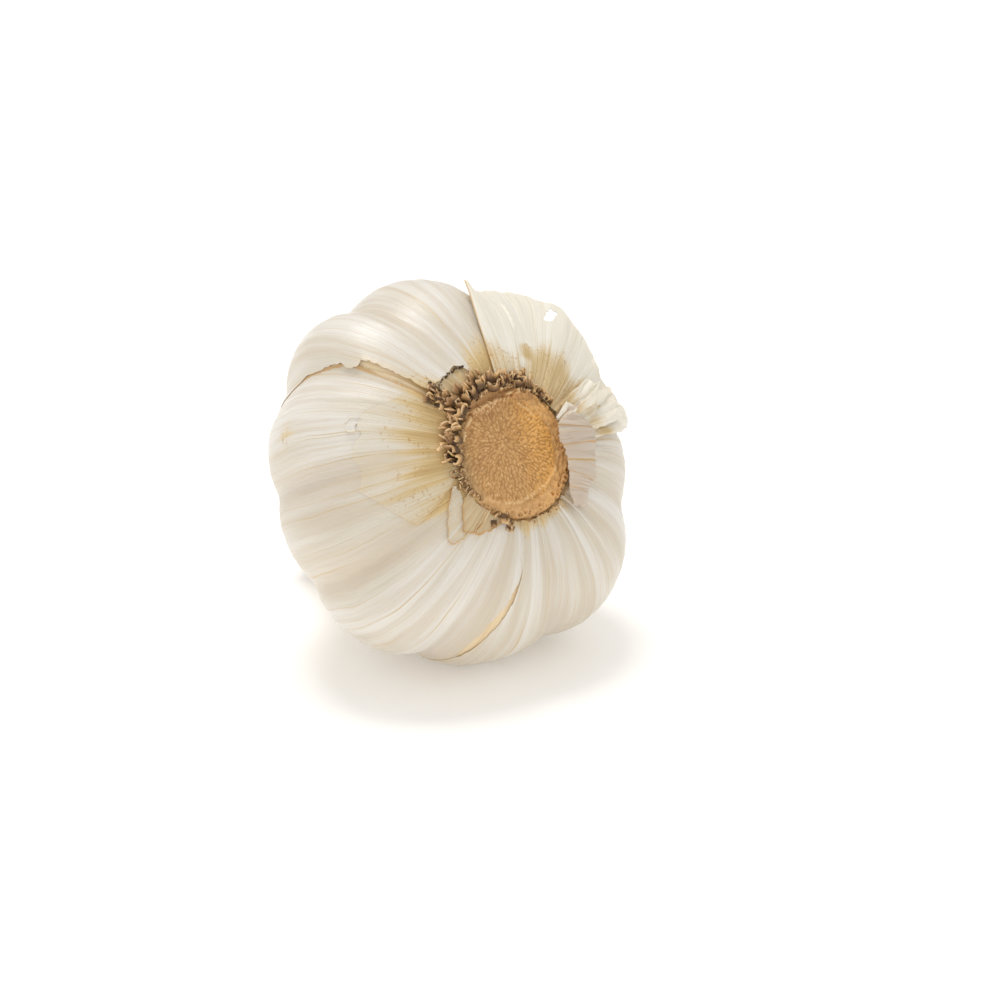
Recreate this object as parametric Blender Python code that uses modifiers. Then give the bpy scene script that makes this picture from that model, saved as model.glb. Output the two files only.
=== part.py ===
"""A garlic bulb lying on its side on a flat surface, with its root plate turned up to the front.

Sizes are in millimetres and degrees until a mesh is placed. In the bulb's own frame the axis is Z,
the root end is at the top and the neck at the bottom. Azimuth 0 is +X and azimuth 90 is +Y.
A depth is measured down the axis from the rim of the root plate, and a reach is measured over
the skin from the same rim.
"""
import math
import random

import bmesh
import bpy
from mathutils import Vector

MM = 0.001

# The bulb and the way it lies
TILT = 29.0                 # the root end points this far above the horizontal, towards -Y
RIM_RADIUS = 10.6           # where the skins end round the root plate
BULB_RADIUS = 31.0
WIDEST_DEPTH = 17.5
WAIST = (14.0, 41.5)        # radius and depth where the belly turns into the neck
NECK_RADIUS = 7.0
BULB_LENGTH = 62.0
AXIS_SPOT = (1.8, -10.5, 37.8)   # centre of the root plate's rim, with the rest spot at the origin

# Handles of the three curves down the skin: round shoulder, belly and hollow waist
SHOULDER_HANDLES = ((18.0, -0.6), (BULB_RADIUS, 6.5))
BELLY_HANDLES = ((BULB_RADIUS, 29.5), (22.0, 36.0))
NECK_HANDLES = ((9.5, 44.6), (NECK_RADIUS, 49.0))

# Cloves, from the azimuth of one groove to the next, and how far each one bulges
GROOVES = (109.0, 136.0, 169.5, 202.0, 240.0, 282.0, 331.0, 364.0, 398.0, 433.0)
BULGES = (1.08, 1.02, 0.985, 1.045, 1.0, 1.06, 0.99, 0.965, 0.99, 1.045)
GROOVE_DEPTH = 0.075        # as a share of the radius
GROOVE_SLOPE = 2.2
CLOVE_LENGTH = 44.0
RIM_BULGE = 0.25            # share of the cloves' shape that is left beside the rim
NECK_BULGE = 0.15
NECK_START = 42.0
NECK_FADE = 16.0
COLUMNS_PER_CLOVE = 8
RING_STEP = 2.9

# Dried neck
NECK_SAG = 2.0
NECK_FLUTES = 7
NECK_FLUTE_DEPTH = 0.05
NECK_SKINS = ((1.0, 0.0), (1.3, 1.6), (2.8, 1.4), (3.1, 0.4))   # inset and recess of the cut layers

# Root plate and its dry root stubs
GAP = 0.3
PLATE_DEPTH = 4.0
PLATE_RINGS = ((0.0, 0.25), (3.0, 0.35), (6.0, 0.5), (7.2, 0.85), (7.9, 0.45), (9.2, 0.6))
PLATE_COLUMNS = 48
PLATE_WAVE = 0.18
LIP_RADIUS = 10.9
LIP_HEIGHT = 1.1
LIP_SPREAD = 1.9            # the lip reaches further under the root stubs
LIP_ARC = (28.0, 208.0)
LIP_FADE = 25.0
STUB_FOOT = 0.75            # height of a stub's foot, inside the lip
STUB_INSET = 0.45
STUB_LENGTH = (1.9, 3.1)
STUB_HALF_WIDTH = (0.42, 0.62)
STUB_TAPER = 0.75
STUB_SIDES = 4
# First and last azimuth, number of stubs, nearest and furthest foot, and share of the full length
STUB_ARCS = ((104, 188, 40, 9.8, 12.2, 1.0), (40, 104, 26, 9.9, 11.9, 0.8), (28, 40, 3, 10.0, 10.5, 0.8),
             (228, 246, 6, 10.0, 10.5, 1.0))

# Skins
SKIN = 0.6
SKIN_CLEAR = 0.4

# The dry layer that still sticks to the left of the bulb: azimuth and reach of its ragged edge,
# from the lower end up. It starts beside the root stubs and its ends sink into the skin.
LAYER_FOOT = 3.4
LAYER_RISE = 0.35
LAYER_SINK = 0.3
LAYER_EDGE = ((199, 4.5), (199, 12.0), (193, 12.2), (188, 14.0), (183, 15.0), (177, 18.5), (171, 17.2),
              (164, 17.6), (158, 15.5), (152, 16.0), (146, 13.5), (142, 11.0), (138, 12.0))

# Slits where the skin has split over a clove: azimuth, reach and half width along each one
SLIT_DEPTH = 0.7
SLIT_BLADE = 2.5
UPPER_SLIT = ((134, 5.0, 0.1), (134, 9.5, 0.7), (133.5, 14, 0.9), (133, 18, 0.7), (133.5, 22, 0.4),
              (135.5, 27, 0.25), (137, 34, 0.1))
LOWER_SLIT = ((253.5, 4.5, 0.1), (254.5, 7.0, 0.7), (254, 11, 0.8), (252, 15, 0.7), (249.5, 20, 0.5),
              (248.5, 24, 0.1))

# Torn outer skin over the upper right: azimuth and reach of its foot beside the root stubs, then
# azimuth, reach and lift of its free edge, both from the left end round to the right
COLLAR_FOOT = ((87, 4.1), (70, 4.1), (50, 4.0), (30, 3.9), (12, 4.4))
COLLAR_EDGE = ((80, 20.5, 3.0), (75, 21.5, 1.2), (69, 22, 0.8), (63, 22.5, 0.7), (57, 22.5, 1.0), (51, 22, 2.0),
               (45, 22, 3.6), (39, 22, 4.6), (34, 22, 4.4), (29, 22, 3.6), (24, 21.5, 2.3), (19, 21.5, 1.6),
               (14, 21, 1.4), (9, 20.5, 2.2), (3, 18.5, 3.0))
COLLAR_CURL = 1.8

# Small flap folded in over the right of the plate: azimuth, radius and height above the rim
FOLD_CREASE = ((12, 14.2, 0.2), (0, 15.2, 0.0), (-10, 15.6, 0.0), (-20, 15.7, 0.0), (-32, 15.5, 0.0),
               (-42, 14.6, 0.1), (-51, 13.8, 0.2))
FOLD_EDGE = ((21, 9.6, 1.9), (10, 8.4, 1.7), (0, 7.7, 1.7), (-18, 8.0, 1.7), (-36, 9.3, 1.7), (-50, 10.2, 1.7),
             (-56, 11.4, 1.6))
FOLD_ARCH = 1.1


def clamp(value, low=0.0, high=1.0):
    return max(low, min(high, value))


def round_axis(azimuth, radius, height):
    """A point at an azimuth and a radius from the bulb's axis."""
    turn = math.radians(azimuth)
    return Vector((radius * math.cos(turn), radius * math.sin(turn), height))


def along(points, share):
    """The value a share of the way along a list of tuples, each the same step from the next."""
    place = clamp(share) * (len(points) - 1)
    index = min(int(place), len(points) - 2)
    rest = place - index
    return tuple(a + (b - a) * rest for a, b in zip(points[index], points[index + 1]))


def bezier(start, handles, end, steps):
    """Points on a cubic curve between two ends, the last end left out."""
    corners = [Vector(corner) for corner in (start, *handles, end)]
    points = []
    for step in range(steps):
        t = step / steps
        weights = ((1 - t) ** 3, 3 * (1 - t) ** 2 * t, 3 * (1 - t) * t ** 2, t ** 3)
        points.append(sum((w * corner for w, corner in zip(weights, corners)), Vector((0.0, 0.0))))
    return points


def skin_curve():
    """(radius, depth) down the outside of the bulb, from the rim of the root plate to the neck's end."""
    rim = (RIM_RADIUS, 0.0)
    widest = (BULB_RADIUS, WIDEST_DEPTH)
    end = (NECK_RADIUS, BULB_LENGTH)
    shoulder = bezier(rim, SHOULDER_HANDLES, widest, 48)
    belly = bezier(widest, BELLY_HANDLES, WAIST, 48)
    neck = bezier(WAIST, NECK_HANDLES, end, 32)
    return shoulder + belly + neck + [Vector(end)]


CURVE = skin_curve()
REACHES = [0.0]
for start, stop in zip(CURVE, CURVE[1:]):
    REACHES.append(REACHES[-1] + (stop - start).length)


def on_curve(reach):
    """Point and outward normal of the skin curve, as (radius, depth) pairs."""
    index = 1
    while index < len(REACHES) - 1 and REACHES[index] < reach:
        index += 1
    start, stop = CURVE[index - 1], CURVE[index]
    share = (reach - REACHES[index - 1]) / (REACHES[index] - REACHES[index - 1])
    run = (stop - start).normalized()
    return start.lerp(stop, clamp(share)), Vector((run.y, -run.x))


def clove_span(clove):
    """First and last azimuth of one clove."""
    low = GROOVES[clove]
    high = GROOVES[clove + 1] if clove + 1 < len(GROOVES) else GROOVES[0] + 360
    return low, high


def bulge(azimuth):
    """How far the cloves push the skin out at an azimuth, as a share of the turned radius."""
    turned = (azimuth - GROOVES[0]) % 360 + GROOVES[0]
    clove = max(i for i in range(len(GROOVES)) if GROOVES[i] <= turned)
    low, high = clove_span(clove)
    across = (turned - (low + high) / 2) / ((high - low) / 2)
    beside = BULGES[(clove + 1) % len(BULGES)] if across > 0 else BULGES[clove - 1]
    edge = (BULGES[clove] + beside) / 2
    side = abs(across)
    return BULGES[clove] + (edge - BULGES[clove]) * side ** 3 - GROOVE_DEPTH * side ** GROOVE_SLOPE


def clove_share(radius, depth):
    """Cloves show least at the rim and along the neck, and most at the widest ring."""
    swell = math.sin(math.pi * clamp(depth / CLOVE_LENGTH) ** 0.6)
    beside_rim = clamp((radius - RIM_RADIUS) / 4) if depth < WIDEST_DEPTH else 1.0
    start = RIM_BULGE * beside_rim
    fade = clamp((NECK_START + NECK_FADE - depth) / NECK_FADE, NECK_BULGE)
    return (start + (1 - RIM_BULGE) * swell) * fade


def shaped(azimuth, radius, depth):
    """A point of the turned bulb, moved out over the cloves, and down where the fluted neck sags."""
    neck = clamp((depth - NECK_START) / (BULB_LENGTH - NECK_START))
    flute = NECK_FLUTE_DEPTH * neck * math.sin(math.radians(NECK_FLUTES * azimuth) + 2 * neck)
    radius *= 1 + (bulge(azimuth) - 1) * clove_share(radius, depth) + flute
    point = round_axis(azimuth, radius, -depth)
    point.y -= NECK_SAG * neck ** 2
    return point


def on_bulb(azimuth, reach, lift):
    """A point over the bulb's skin, lifted off it along the skin curve's normal."""
    point, normal = on_curve(reach)
    return shaped(azimuth, point.x, point.y) + round_axis(azimuth, normal.x, -normal.y) * lift


def clear_scene():
    for obj in list(bpy.data.objects):
        bpy.data.objects.remove(obj)


def new_collection(name):
    collection = bpy.data.collections.new(name)
    bpy.context.scene.collection.children.link(collection)
    return collection


def finish(name, color, roughness):
    """A plain surface of one colour."""
    material = bpy.data.materials.new(name)
    material.use_nodes = True
    shader = material.node_tree.nodes["Principled BSDF"]
    shader.inputs["Base Color"].default_value = (*color, 1.0)
    shader.inputs["Roughness"].default_value = roughness
    shader.inputs["Metallic"].default_value = 0.0
    return material


def add_object(name, mesh, material, collection, axis):
    """Puts a mesh in the bulb's frame as a named object."""
    obj = bpy.data.objects.new(name, mesh)
    obj.data.materials.clear()
    obj.data.materials.append(material)
    obj.parent = axis
    collection.objects.link(obj)
    return obj


def add_cutter(name, mesh, material, collection, axis):
    """A shape that is joined to a part or cut from it, and isn't a part itself."""
    cutter = add_object(name, mesh, material, collection, axis)
    cutter.hide_render = True
    cutter.display_type = "WIRE"


def boolean(obj, name, operation, operand):
    """Cuts or joins every object of a collection."""
    step = obj.modifiers.new(name, "BOOLEAN")
    step.operation = operation
    step.operand_type = "COLLECTION"
    step.collection = operand
    step.solver = "EXACT"


def evaluated_mesh(obj):
    """The mesh that an object's modifiers make."""
    bpy.context.view_layer.update()
    evaluated = obj.evaluated_get(bpy.context.evaluated_depsgraph_get())
    return bpy.data.meshes.new_from_object(evaluated)


def scratch_object(name, shape):
    """Puts a bmesh in the scene for as long as a modifier needs it."""
    mesh = bpy.data.meshes.new(name)
    shape.to_mesh(mesh)
    shape.free()
    obj = bpy.data.objects.new(name, mesh)
    bpy.context.scene.collection.objects.link(obj)
    return obj


def turned_mesh(name, outline, columns):
    """A closed mesh turned about Z from (radius, height) points that run down its outer side."""
    shape = bmesh.new()
    corners = [shape.verts.new((radius * MM, 0.0, height * MM)) for radius, height in outline]
    for upper, lower in zip(corners, corners[1:]):
        shape.edges.new((upper, lower))
    profile = scratch_object(name, shape)
    turn = profile.modifiers.new("turn", "SCREW")
    turn.steps = columns
    turn.render_steps = columns
    turn.use_merge_vertices = True
    turn.merge_threshold = 0.00001
    turned = evaluated_mesh(profile)
    bpy.data.objects.remove(profile)
    return turned


def sheet_mesh(name, columns, rows, place, thickness=SKIN):
    """A thin closed skin: place(u, v) gives its inner side, and the thickness is added outside."""
    shape = bmesh.new()
    bmesh.ops.create_grid(shape, x_segments=columns, y_segments=rows, size=0.5)
    for corner in shape.verts:
        corner.co = place(corner.co.x + 0.5, corner.co.y + 0.5) * MM
    sheet = scratch_object(name, shape)
    wall = sheet.modifiers.new("wall", "SOLIDIFY")
    wall.thickness = thickness * MM
    wall.offset = 1.0
    solid = evaluated_mesh(sheet)
    bpy.data.objects.remove(sheet)
    return solid


def groove_azimuth(turn):
    """Spreads evenly turned columns so that every groove falls on one."""
    clove, part = divmod((turn % 1.0) * len(GROOVES), 1.0)
    low, high = clove_span(int(clove))
    return low + (high - low) * part


def bulb_outline():
    """From the pocket under the root plate, over the rim and down to the cut, layered neck."""
    pocket = -PLATE_DEPTH - GAP
    outline = [(0.0, pocket), (RIM_RADIUS, pocket)]
    rings = round(REACHES[-1] / RING_STEP)
    for ring in range(rings + 1):
        point, _ = on_curve(REACHES[-1] * ring / rings)
        outline.append((point.x, -point.y))
    outline += [(NECK_RADIUS - inset, recess - BULB_LENGTH) for inset, recess in NECK_SKINS]
    outline.append((0.0, NECK_SKINS[-1][1] - BULB_LENGTH))
    return outline


def make_bulb(material, collection, axis):
    """The body: cloves under one skin, a pocket for the root plate and a short cut neck."""
    mesh = turned_mesh("bulb", bulb_outline(), COLUMNS_PER_CLOVE * len(GROOVES))
    for corner in mesh.vertices:
        x, y, height = corner.co / MM
        azimuth = groove_azimuth(math.atan2(y, x) / math.tau)
        radius = math.hypot(x, y)
        in_pocket = radius < RIM_RADIUS + 0.01 and height > -PLATE_DEPTH - 2 * GAP
        place = round_axis(azimuth, radius, height) if in_pocket else shaped(azimuth, radius, -height)
        corner.co = place * MM
    return add_object("bulb", mesh, material, collection, axis)


def layer_place(u, v):
    """The stuck layer: it stands just proud of the skin, and its two ends sink into it."""
    azimuth, reach = along(LAYER_EDGE, u)
    first, last = LAYER_EDGE[0][0], LAYER_EDGE[-1][0]
    foot = first + (last - first) * u
    sink = (LAYER_RISE + LAYER_SINK) * abs(2 * u - 1) ** 8
    return on_bulb(foot + (azimuth - foot) * v, LAYER_FOOT + (reach - LAYER_FOOT) * v, LAYER_RISE - sink - SKIN)


def slit_place(points):
    """A narrow blade that stands in the skin and out of it."""
    def place(u, v):
        azimuth, reach, half = along(points, u)
        aside = math.degrees(half * (2 * v - 1) / on_curve(reach)[0].x)
        return on_bulb(azimuth + aside, reach, -SLIT_DEPTH)
    return place


def floor_mesh():
    """A block whose top is the surface that the bulb lies on."""
    mesh = bpy.data.meshes.new("floor_cut")
    shape = bmesh.new()
    bmesh.ops.create_cube(shape, size=1.0)
    bmesh.ops.translate(shape, vec=(0, 0, -0.5), verts=shape.verts)
    bmesh.ops.scale(shape, vec=(200 * MM, 200 * MM, 20 * MM), verts=shape.verts)
    shape.to_mesh(mesh)
    shape.free()
    return mesh


def shape_skin(bulb, material, axis):
    """Adds the stuck layer, opens the slits and gives the bulb the spot that it rests on."""
    added = new_collection("stuck_layers")
    slits = new_collection("slit_cutters")
    floor = new_collection("floor_cutters")
    add_cutter("stuck_layer", sheet_mesh("stuck_layer", 24, 6, layer_place), material, added, axis)
    for name, points in (("upper_slit", UPPER_SLIT), ("lower_slit", LOWER_SLIT)):
        blade = sheet_mesh(name, 2 * len(points), 2, slit_place(points), SLIT_BLADE)
        add_cutter(name, blade, material, slits, axis)
    add_cutter("floor_cut", floor_mesh(), material, floor, None)
    boolean(bulb, "stuck layer", "UNION", added)
    boolean(bulb, "slits", "DIFFERENCE", slits)
    boolean(bulb, "rest spot", "DIFFERENCE", floor)


def lip_reach(azimuth):
    """The plate's lip is widest on the left and the top, where the root stubs crowd."""
    first, last = LIP_ARC
    turned = (azimuth + 90) % 360 - 90
    return LIP_RADIUS + LIP_SPREAD * clamp((turned - first) / LIP_FADE) * clamp((last - turned) / LIP_FADE)


def make_plate(material, collection, axis):
    """The corky disc that the roots grew from: a low core inside a ridge, a ring and a thin lip."""
    seat = RIM_RADIUS - GAP
    outline = list(PLATE_RINGS)
    outline += [(LIP_RADIUS, LIP_HEIGHT), (LIP_RADIUS, SKIN_CLEAR), (seat, SKIN_CLEAR)]
    outline += [(seat, -PLATE_DEPTH), (0.0, -PLATE_DEPTH)]
    mesh = turned_mesh("root_plate", outline, PLATE_COLUMNS)
    ridge = PLATE_RINGS[3][0]
    for corner in mesh.vertices:
        x, y, height = corner.co / MM
        radius = math.hypot(x, y)
        azimuth = math.degrees(math.atan2(y, x))
        if radius > LIP_RADIUS - 0.01:
            radius = lip_reach(azimuth)
        elif radius > ridge - 0.01 and height > 0:
            height += PLATE_WAVE * math.sin(math.radians(3 * azimuth)) * math.cos(math.radians(7 * azimuth))
        corner.co = round_axis(azimuth, radius, height) * MM
    return add_object("root_plate", mesh, material, collection, axis)


def stub_mesh(name, draw, foot, lean, length):
    """One dry root: a flattened, tapered peg with a bend, standing on its foot."""
    mesh = bpy.data.meshes.new(name)
    shape = bmesh.new()
    width = draw.uniform(*STUB_HALF_WIDTH)
    bmesh.ops.create_cone(shape, cap_ends=True, segments=STUB_SIDES, radius1=width,
                          radius2=width * STUB_TAPER, depth=1.0)
    sides = [edge for edge in shape.edges if edge.calc_length() > 0.9]
    bmesh.ops.subdivide_edges(shape, edges=sides, cuts=1)
    flat = draw.uniform(0.6, 1.0)
    bend = draw.uniform(-0.2, 0.2) * length
    turn = lean.to_track_quat("Z", "Y")
    for corner in shape.verts:
        rise = corner.co.z + 0.5
        point = Vector((corner.co.x + bend * rise ** 2, corner.co.y * flat, rise * length))
        corner.co = (foot + turn @ point) * MM
    bmesh.ops.triangulate(shape, faces=shape.faces)
    shape.to_mesh(mesh)
    shape.free()
    return mesh


def make_stubs(material, collection, axis):
    """Root stubs by a seeded rule: they lean outwards and to either side, each sunk into the lip."""
    draw = random.Random(7)
    for first, last, count, near, far, long_share in STUB_ARCS:
        for index in range(count):
            azimuth = first + (last - first) * (index + draw.uniform(0.2, 0.8)) / count
            radius = min(draw.uniform(near, far), lip_reach(azimuth) - STUB_INSET)
            out = round_axis(azimuth, draw.uniform(0.1, 1.0), draw.uniform(0.55, 1.3))
            aside = round_axis(azimuth + 90, draw.uniform(-0.6, 0.6), 0.0)
            length = draw.uniform(*STUB_LENGTH) * long_share
            name = f"stub_{first}_{index}"
            foot = round_axis(azimuth, radius, STUB_FOOT)
            add_cutter(name, stub_mesh(name, draw, foot, out + aside, length), material, collection, axis)


def joined_corners(start, left):
    """All corners that hang together with one corner, taken out of the set of those still left."""
    piece = [start]
    for corner in piece:
        for edge in corner.link_edges:
            other = edge.other_vert(corner)
            if other in left:
                left.discard(other)
                piece.append(other)
    return piece


def fuse_stubs(plate, stubs):
    """Joins the stubs to the plate, and keeps the one body: no loose scrap and no sealed hollow."""
    boolean(plate, "root stubs", "UNION", stubs)
    fused = evaluated_mesh(plate)
    shape = bmesh.new()
    shape.from_mesh(fused)
    shape.verts.ensure_lookup_table()
    left = set(shape.verts)
    pieces = []
    for corner in shape.verts:
        if corner in left:
            left.discard(corner)
            pieces.append(joined_corners(corner, left))
    pieces.sort(key=len)
    for piece in pieces[:-1]:
        bmesh.ops.delete(shape, geom=piece, context="VERTS")
    shape.to_mesh(fused)
    shape.free()
    plate.modifiers.clear()
    plate.data = fused
    for stub in list(stubs.objects):
        bpy.data.objects.remove(stub)


def collar_place(u, v):
    """The torn outer skin: close to the bulb at its foot, and curling away towards its free edge."""
    foot_azimuth, foot_reach = along(COLLAR_FOOT, u)
    azimuth, reach, lift = along(COLLAR_EDGE, u)
    lift = SKIN_CLEAR + (lift - SKIN_CLEAR) * v ** COLLAR_CURL
    return on_bulb(foot_azimuth + (azimuth - foot_azimuth) * v, foot_reach + (reach - foot_reach) * v, lift)


def fold_place(u, v):
    """The small flap, arched from its free edge over the plate to its crease on the bulb."""
    pairs = zip(along(FOLD_EDGE, u), along(FOLD_CREASE, u))
    azimuth, radius, height = (edge + (crease - edge) * v for edge, crease in pairs)
    return round_axis(azimuth, radius, height + FOLD_ARCH * math.sin(math.pi * clamp(v) ** 0.8))


def main():
    clear_scene()
    parts = new_collection("garlic_bulb")
    stubs = new_collection("root_stubs")
    axis = bpy.data.objects.new("bulb_axis", None)
    axis.location = Vector(AXIS_SPOT) * MM
    axis.rotation_euler.x = math.radians(90 - TILT)
    parts.objects.link(axis)

    papery = finish("papery_skin", (0.84, 0.80, 0.73), 0.5)
    torn = finish("torn_skin", (0.86, 0.82, 0.72), 0.55)
    folded = finish("folded_skin", (0.72, 0.67, 0.64), 0.5)
    corky = finish("root_cork", (0.50, 0.31, 0.14), 0.75)

    bulb = make_bulb(papery, parts, axis)
    shape_skin(bulb, papery, axis)
    plate = make_plate(corky, parts, axis)
    make_stubs(corky, stubs, axis)
    fuse_stubs(plate, stubs)
    add_object("skin_collar", sheet_mesh("skin_collar", 30, 9, collar_place), torn, parts, axis)
    add_object("skin_fold", sheet_mesh("skin_fold", 12, 7, fold_place), folded, parts, axis)


main()
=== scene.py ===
# %% [markdown]
# # A garlic bulb with its root end turned up
# The solids of the bulb, its root plate and its torn skins come from the frame, at their real size.
# Here they are dressed: papery skins with veins and torn edges, a corky root plate, dry root stubs
# and a frayed neck. Every length below is in millimetres and every angle in degrees, until a point
# is placed in the scene, which is in metres.

# %% Load the frame
import math

import bpy
import numpy as np
from mathutils import Matrix, Vector
from mathutils.kdtree import KDTree


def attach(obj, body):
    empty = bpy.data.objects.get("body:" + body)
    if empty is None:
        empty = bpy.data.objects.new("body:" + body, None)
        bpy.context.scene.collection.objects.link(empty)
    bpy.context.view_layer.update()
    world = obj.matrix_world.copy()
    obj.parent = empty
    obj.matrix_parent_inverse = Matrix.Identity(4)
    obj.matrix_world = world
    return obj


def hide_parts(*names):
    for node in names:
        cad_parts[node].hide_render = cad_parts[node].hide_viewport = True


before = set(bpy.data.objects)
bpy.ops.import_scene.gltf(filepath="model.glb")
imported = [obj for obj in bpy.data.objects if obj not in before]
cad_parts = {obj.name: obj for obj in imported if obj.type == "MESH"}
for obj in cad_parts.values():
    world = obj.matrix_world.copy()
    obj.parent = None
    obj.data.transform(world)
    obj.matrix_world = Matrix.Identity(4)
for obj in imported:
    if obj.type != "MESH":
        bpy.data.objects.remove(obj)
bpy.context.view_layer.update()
print("the frame holds", sorted(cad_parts))

# %% [markdown]
# ## The form that every skin follows
# A bulb is a turned shape that its cloves push out of round. Its profile is three curves: a round
# shoulder by the roots, a belly, and a waist that runs out into the neck. Working from one formula
# means that skins can lie over each other a hair apart without cutting through.

# %% The profile down the skin
MM = 0.001
TILT = 29.0
RIM_RADIUS = 10.6
BULB_RADIUS = 31.0
WIDEST_DEPTH = 17.5
WAIST = (14.0, 41.5)
NECK_RADIUS = 7.0
BULB_LENGTH = 62.0
AXIS_SPOT = (1.8, -10.5, 37.8)


def bezier(start, first, second, end, steps=60):
    t = np.linspace(0, 1, steps)[:, None]
    points = ((1 - t) ** 3) * np.array(start) + 3 * (1 - t) ** 2 * t * np.array(first)
    return points + 3 * (1 - t) * t ** 2 * np.array(second) + t ** 3 * np.array(end)


widest = (BULB_RADIUS, WIDEST_DEPTH)
shoulder = bezier((RIM_RADIUS, 0), (18.0, -0.6), (BULB_RADIUS, 6.5), widest)
belly = bezier(widest, (BULB_RADIUS, 29.5), (22.0, 36.0), WAIST)
waist = bezier(WAIST, (9.5, 44.6), (NECK_RADIUS, 49.0), (NECK_RADIUS, BULB_LENGTH))
curve = np.vstack([[(0.0, 0.0)], shoulder, belly[1:], waist[1:]])
steps = np.hypot(*np.diff(curve, axis=0).T)
reaches = np.concatenate([[0.0], np.cumsum(steps)]) - RIM_RADIUS
slopes = np.gradient(curve, reaches, axis=0)
slopes /= np.hypot(*slopes.T)[:, None]
NECK_END = reaches[-1]
print("from the rim to the end of the neck, over the skin:", round(NECK_END, 1), "mm")

# %% [markdown]
# The cloves are ten arcs round the axis, each with its own bulge, and the skins bridge the grooves
# between them, so the valleys are rounded off. Dry skin is never quite smooth either: it carries soft
# dents, fine ridges that run from root to neck, and gathers where it is drawn in at both ends.

# %% Cloves, grooves and unevenness
GROOVES = (109.0, 136.0, 169.5, 202.0, 240.0, 282.0, 331.0, 364.0, 398.0, 433.0, 469.0)
BULGES = (1.08, 1.02, 0.985, 1.045, 1.0, 1.06, 0.99, 0.965, 0.99, 1.045)
GROOVE_DEPTH = 0.075
NECK_START = 42.0
NECK_SAG = 2.0


def smooth_step(value, low, high):
    share = np.clip((value - low) / (high - low), 0, 1)
    return share * share * (3 - 2 * share)


def bulge_table():
    """The cloves' push at every half degree, with the grooves rounded off."""
    angles = np.arange(GROOVES[0], GROOVES[-1], 0.5)
    clove = np.searchsorted(GROOVES, angles, side="right") - 1
    low, high = np.array(GROOVES)[clove], np.array(GROOVES)[clove + 1]
    across = (2 * angles - low - high) / (high - low)
    size = np.array(BULGES)[clove]
    beside = np.array(BULGES)[(clove + np.where(across > 0, 1, -1)) % len(BULGES)]
    side = np.abs(across)
    push = size + ((size + beside) / 2 - size) * side ** 3 - GROOVE_DEPTH * side ** 2.2
    kernel = np.exp(-0.5 * (np.arange(-12, 13) / 3.2) ** 2)
    ring = np.concatenate([push[-12:], push, push[:12]])
    return angles, np.convolve(ring, kernel / kernel.sum(), "valid")


PUSH_ANGLES, PUSHES = bulge_table()


def wander(azimuth, around, reach, length, seed):
    """Smooth random values from -1 to 1: `around` cells round the bulb, each `length` long."""
    table = np.random.default_rng(seed).uniform(-1, 1, (around, 97))
    x, y = azimuth / 360 * around, reach / length + 40
    column, row = np.floor(x).astype(int), np.floor(y).astype(int)
    fx, fy = smooth_step(x - column, 0, 1), smooth_step(y - row, 0, 1)
    here, there = column % around, (column + 1) % around
    low = table[here, row % 97] * (1 - fx) + table[there, row % 97] * fx
    high = table[here, (row + 1) % 97] * (1 - fx) + table[there, (row + 1) % 97] * fx
    return low * (1 - fy) + high * fy


def edge_wander(place, around, seed):
    """The same along a line only, such as an edge."""
    return wander(place, around, 0 * place, 1, seed)


def lumps(spots, size, seed):
    """Smooth random values from -1 to 1 over a plane, in lumps of a size."""
    table = np.random.default_rng(seed).uniform(-1, 1, (64, 64))
    cells = spots / size + 32
    low = np.floor(cells).astype(int)
    share = smooth_step(cells - low, 0, 1)
    (x, y), (fx, fy) = low.T, share.T
    near = table[x % 64, y % 64] * (1 - fx) + table[(x + 1) % 64, y % 64] * fx
    far = table[x % 64, (y + 1) % 64] * (1 - fx) + table[(x + 1) % 64, (y + 1) % 64] * fx
    return near * (1 - fy) + far * fy


def unevenness(azimuth, reach):
    """How far the skin stands off its smooth form, in millimetres."""
    neck = smooth_step(reach, 58, 70)
    dents = 0.28 * wander(azimuth, 26, reach, 10, 1) * smooth_step(reach, 2, 12)
    ridges = 0.07 * wander(azimuth, 230, reach, 24, 2) + 0.06 * wander(azimuth, 90, reach, 16, 6)
    gathers = 0.26 * wander(azimuth, 110, reach, 5, 3) * np.exp(-np.abs(reach) / 5)
    folds = neck * (0.75 * wander(azimuth, 18, reach, 30, 4) + 0.3 * wander(azimuth, 60, reach, 30, 5))
    return dents + ridges + gathers + folds


print("deepest groove", round(float(1.02 - PUSHES.min()) * BULB_RADIUS, 1), "mm")

# %% Lay points over the bulb
RIGHT = np.array([1.0, 0.0, 0.0])
ROOTWARD = np.array([0.0, -math.cos(math.radians(TILT)), math.sin(math.radians(TILT))])
UPWARD = np.cross(ROOTWARD, RIGHT)
TO_SCENE = np.stack([RIGHT, UPWARD, ROOTWARD])


def in_scene(points):
    """From the bulb's own frame, with its axis along Z, to the scene."""
    return (points @ TO_SCENE + np.array(AXIS_SPOT)) * MM


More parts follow.
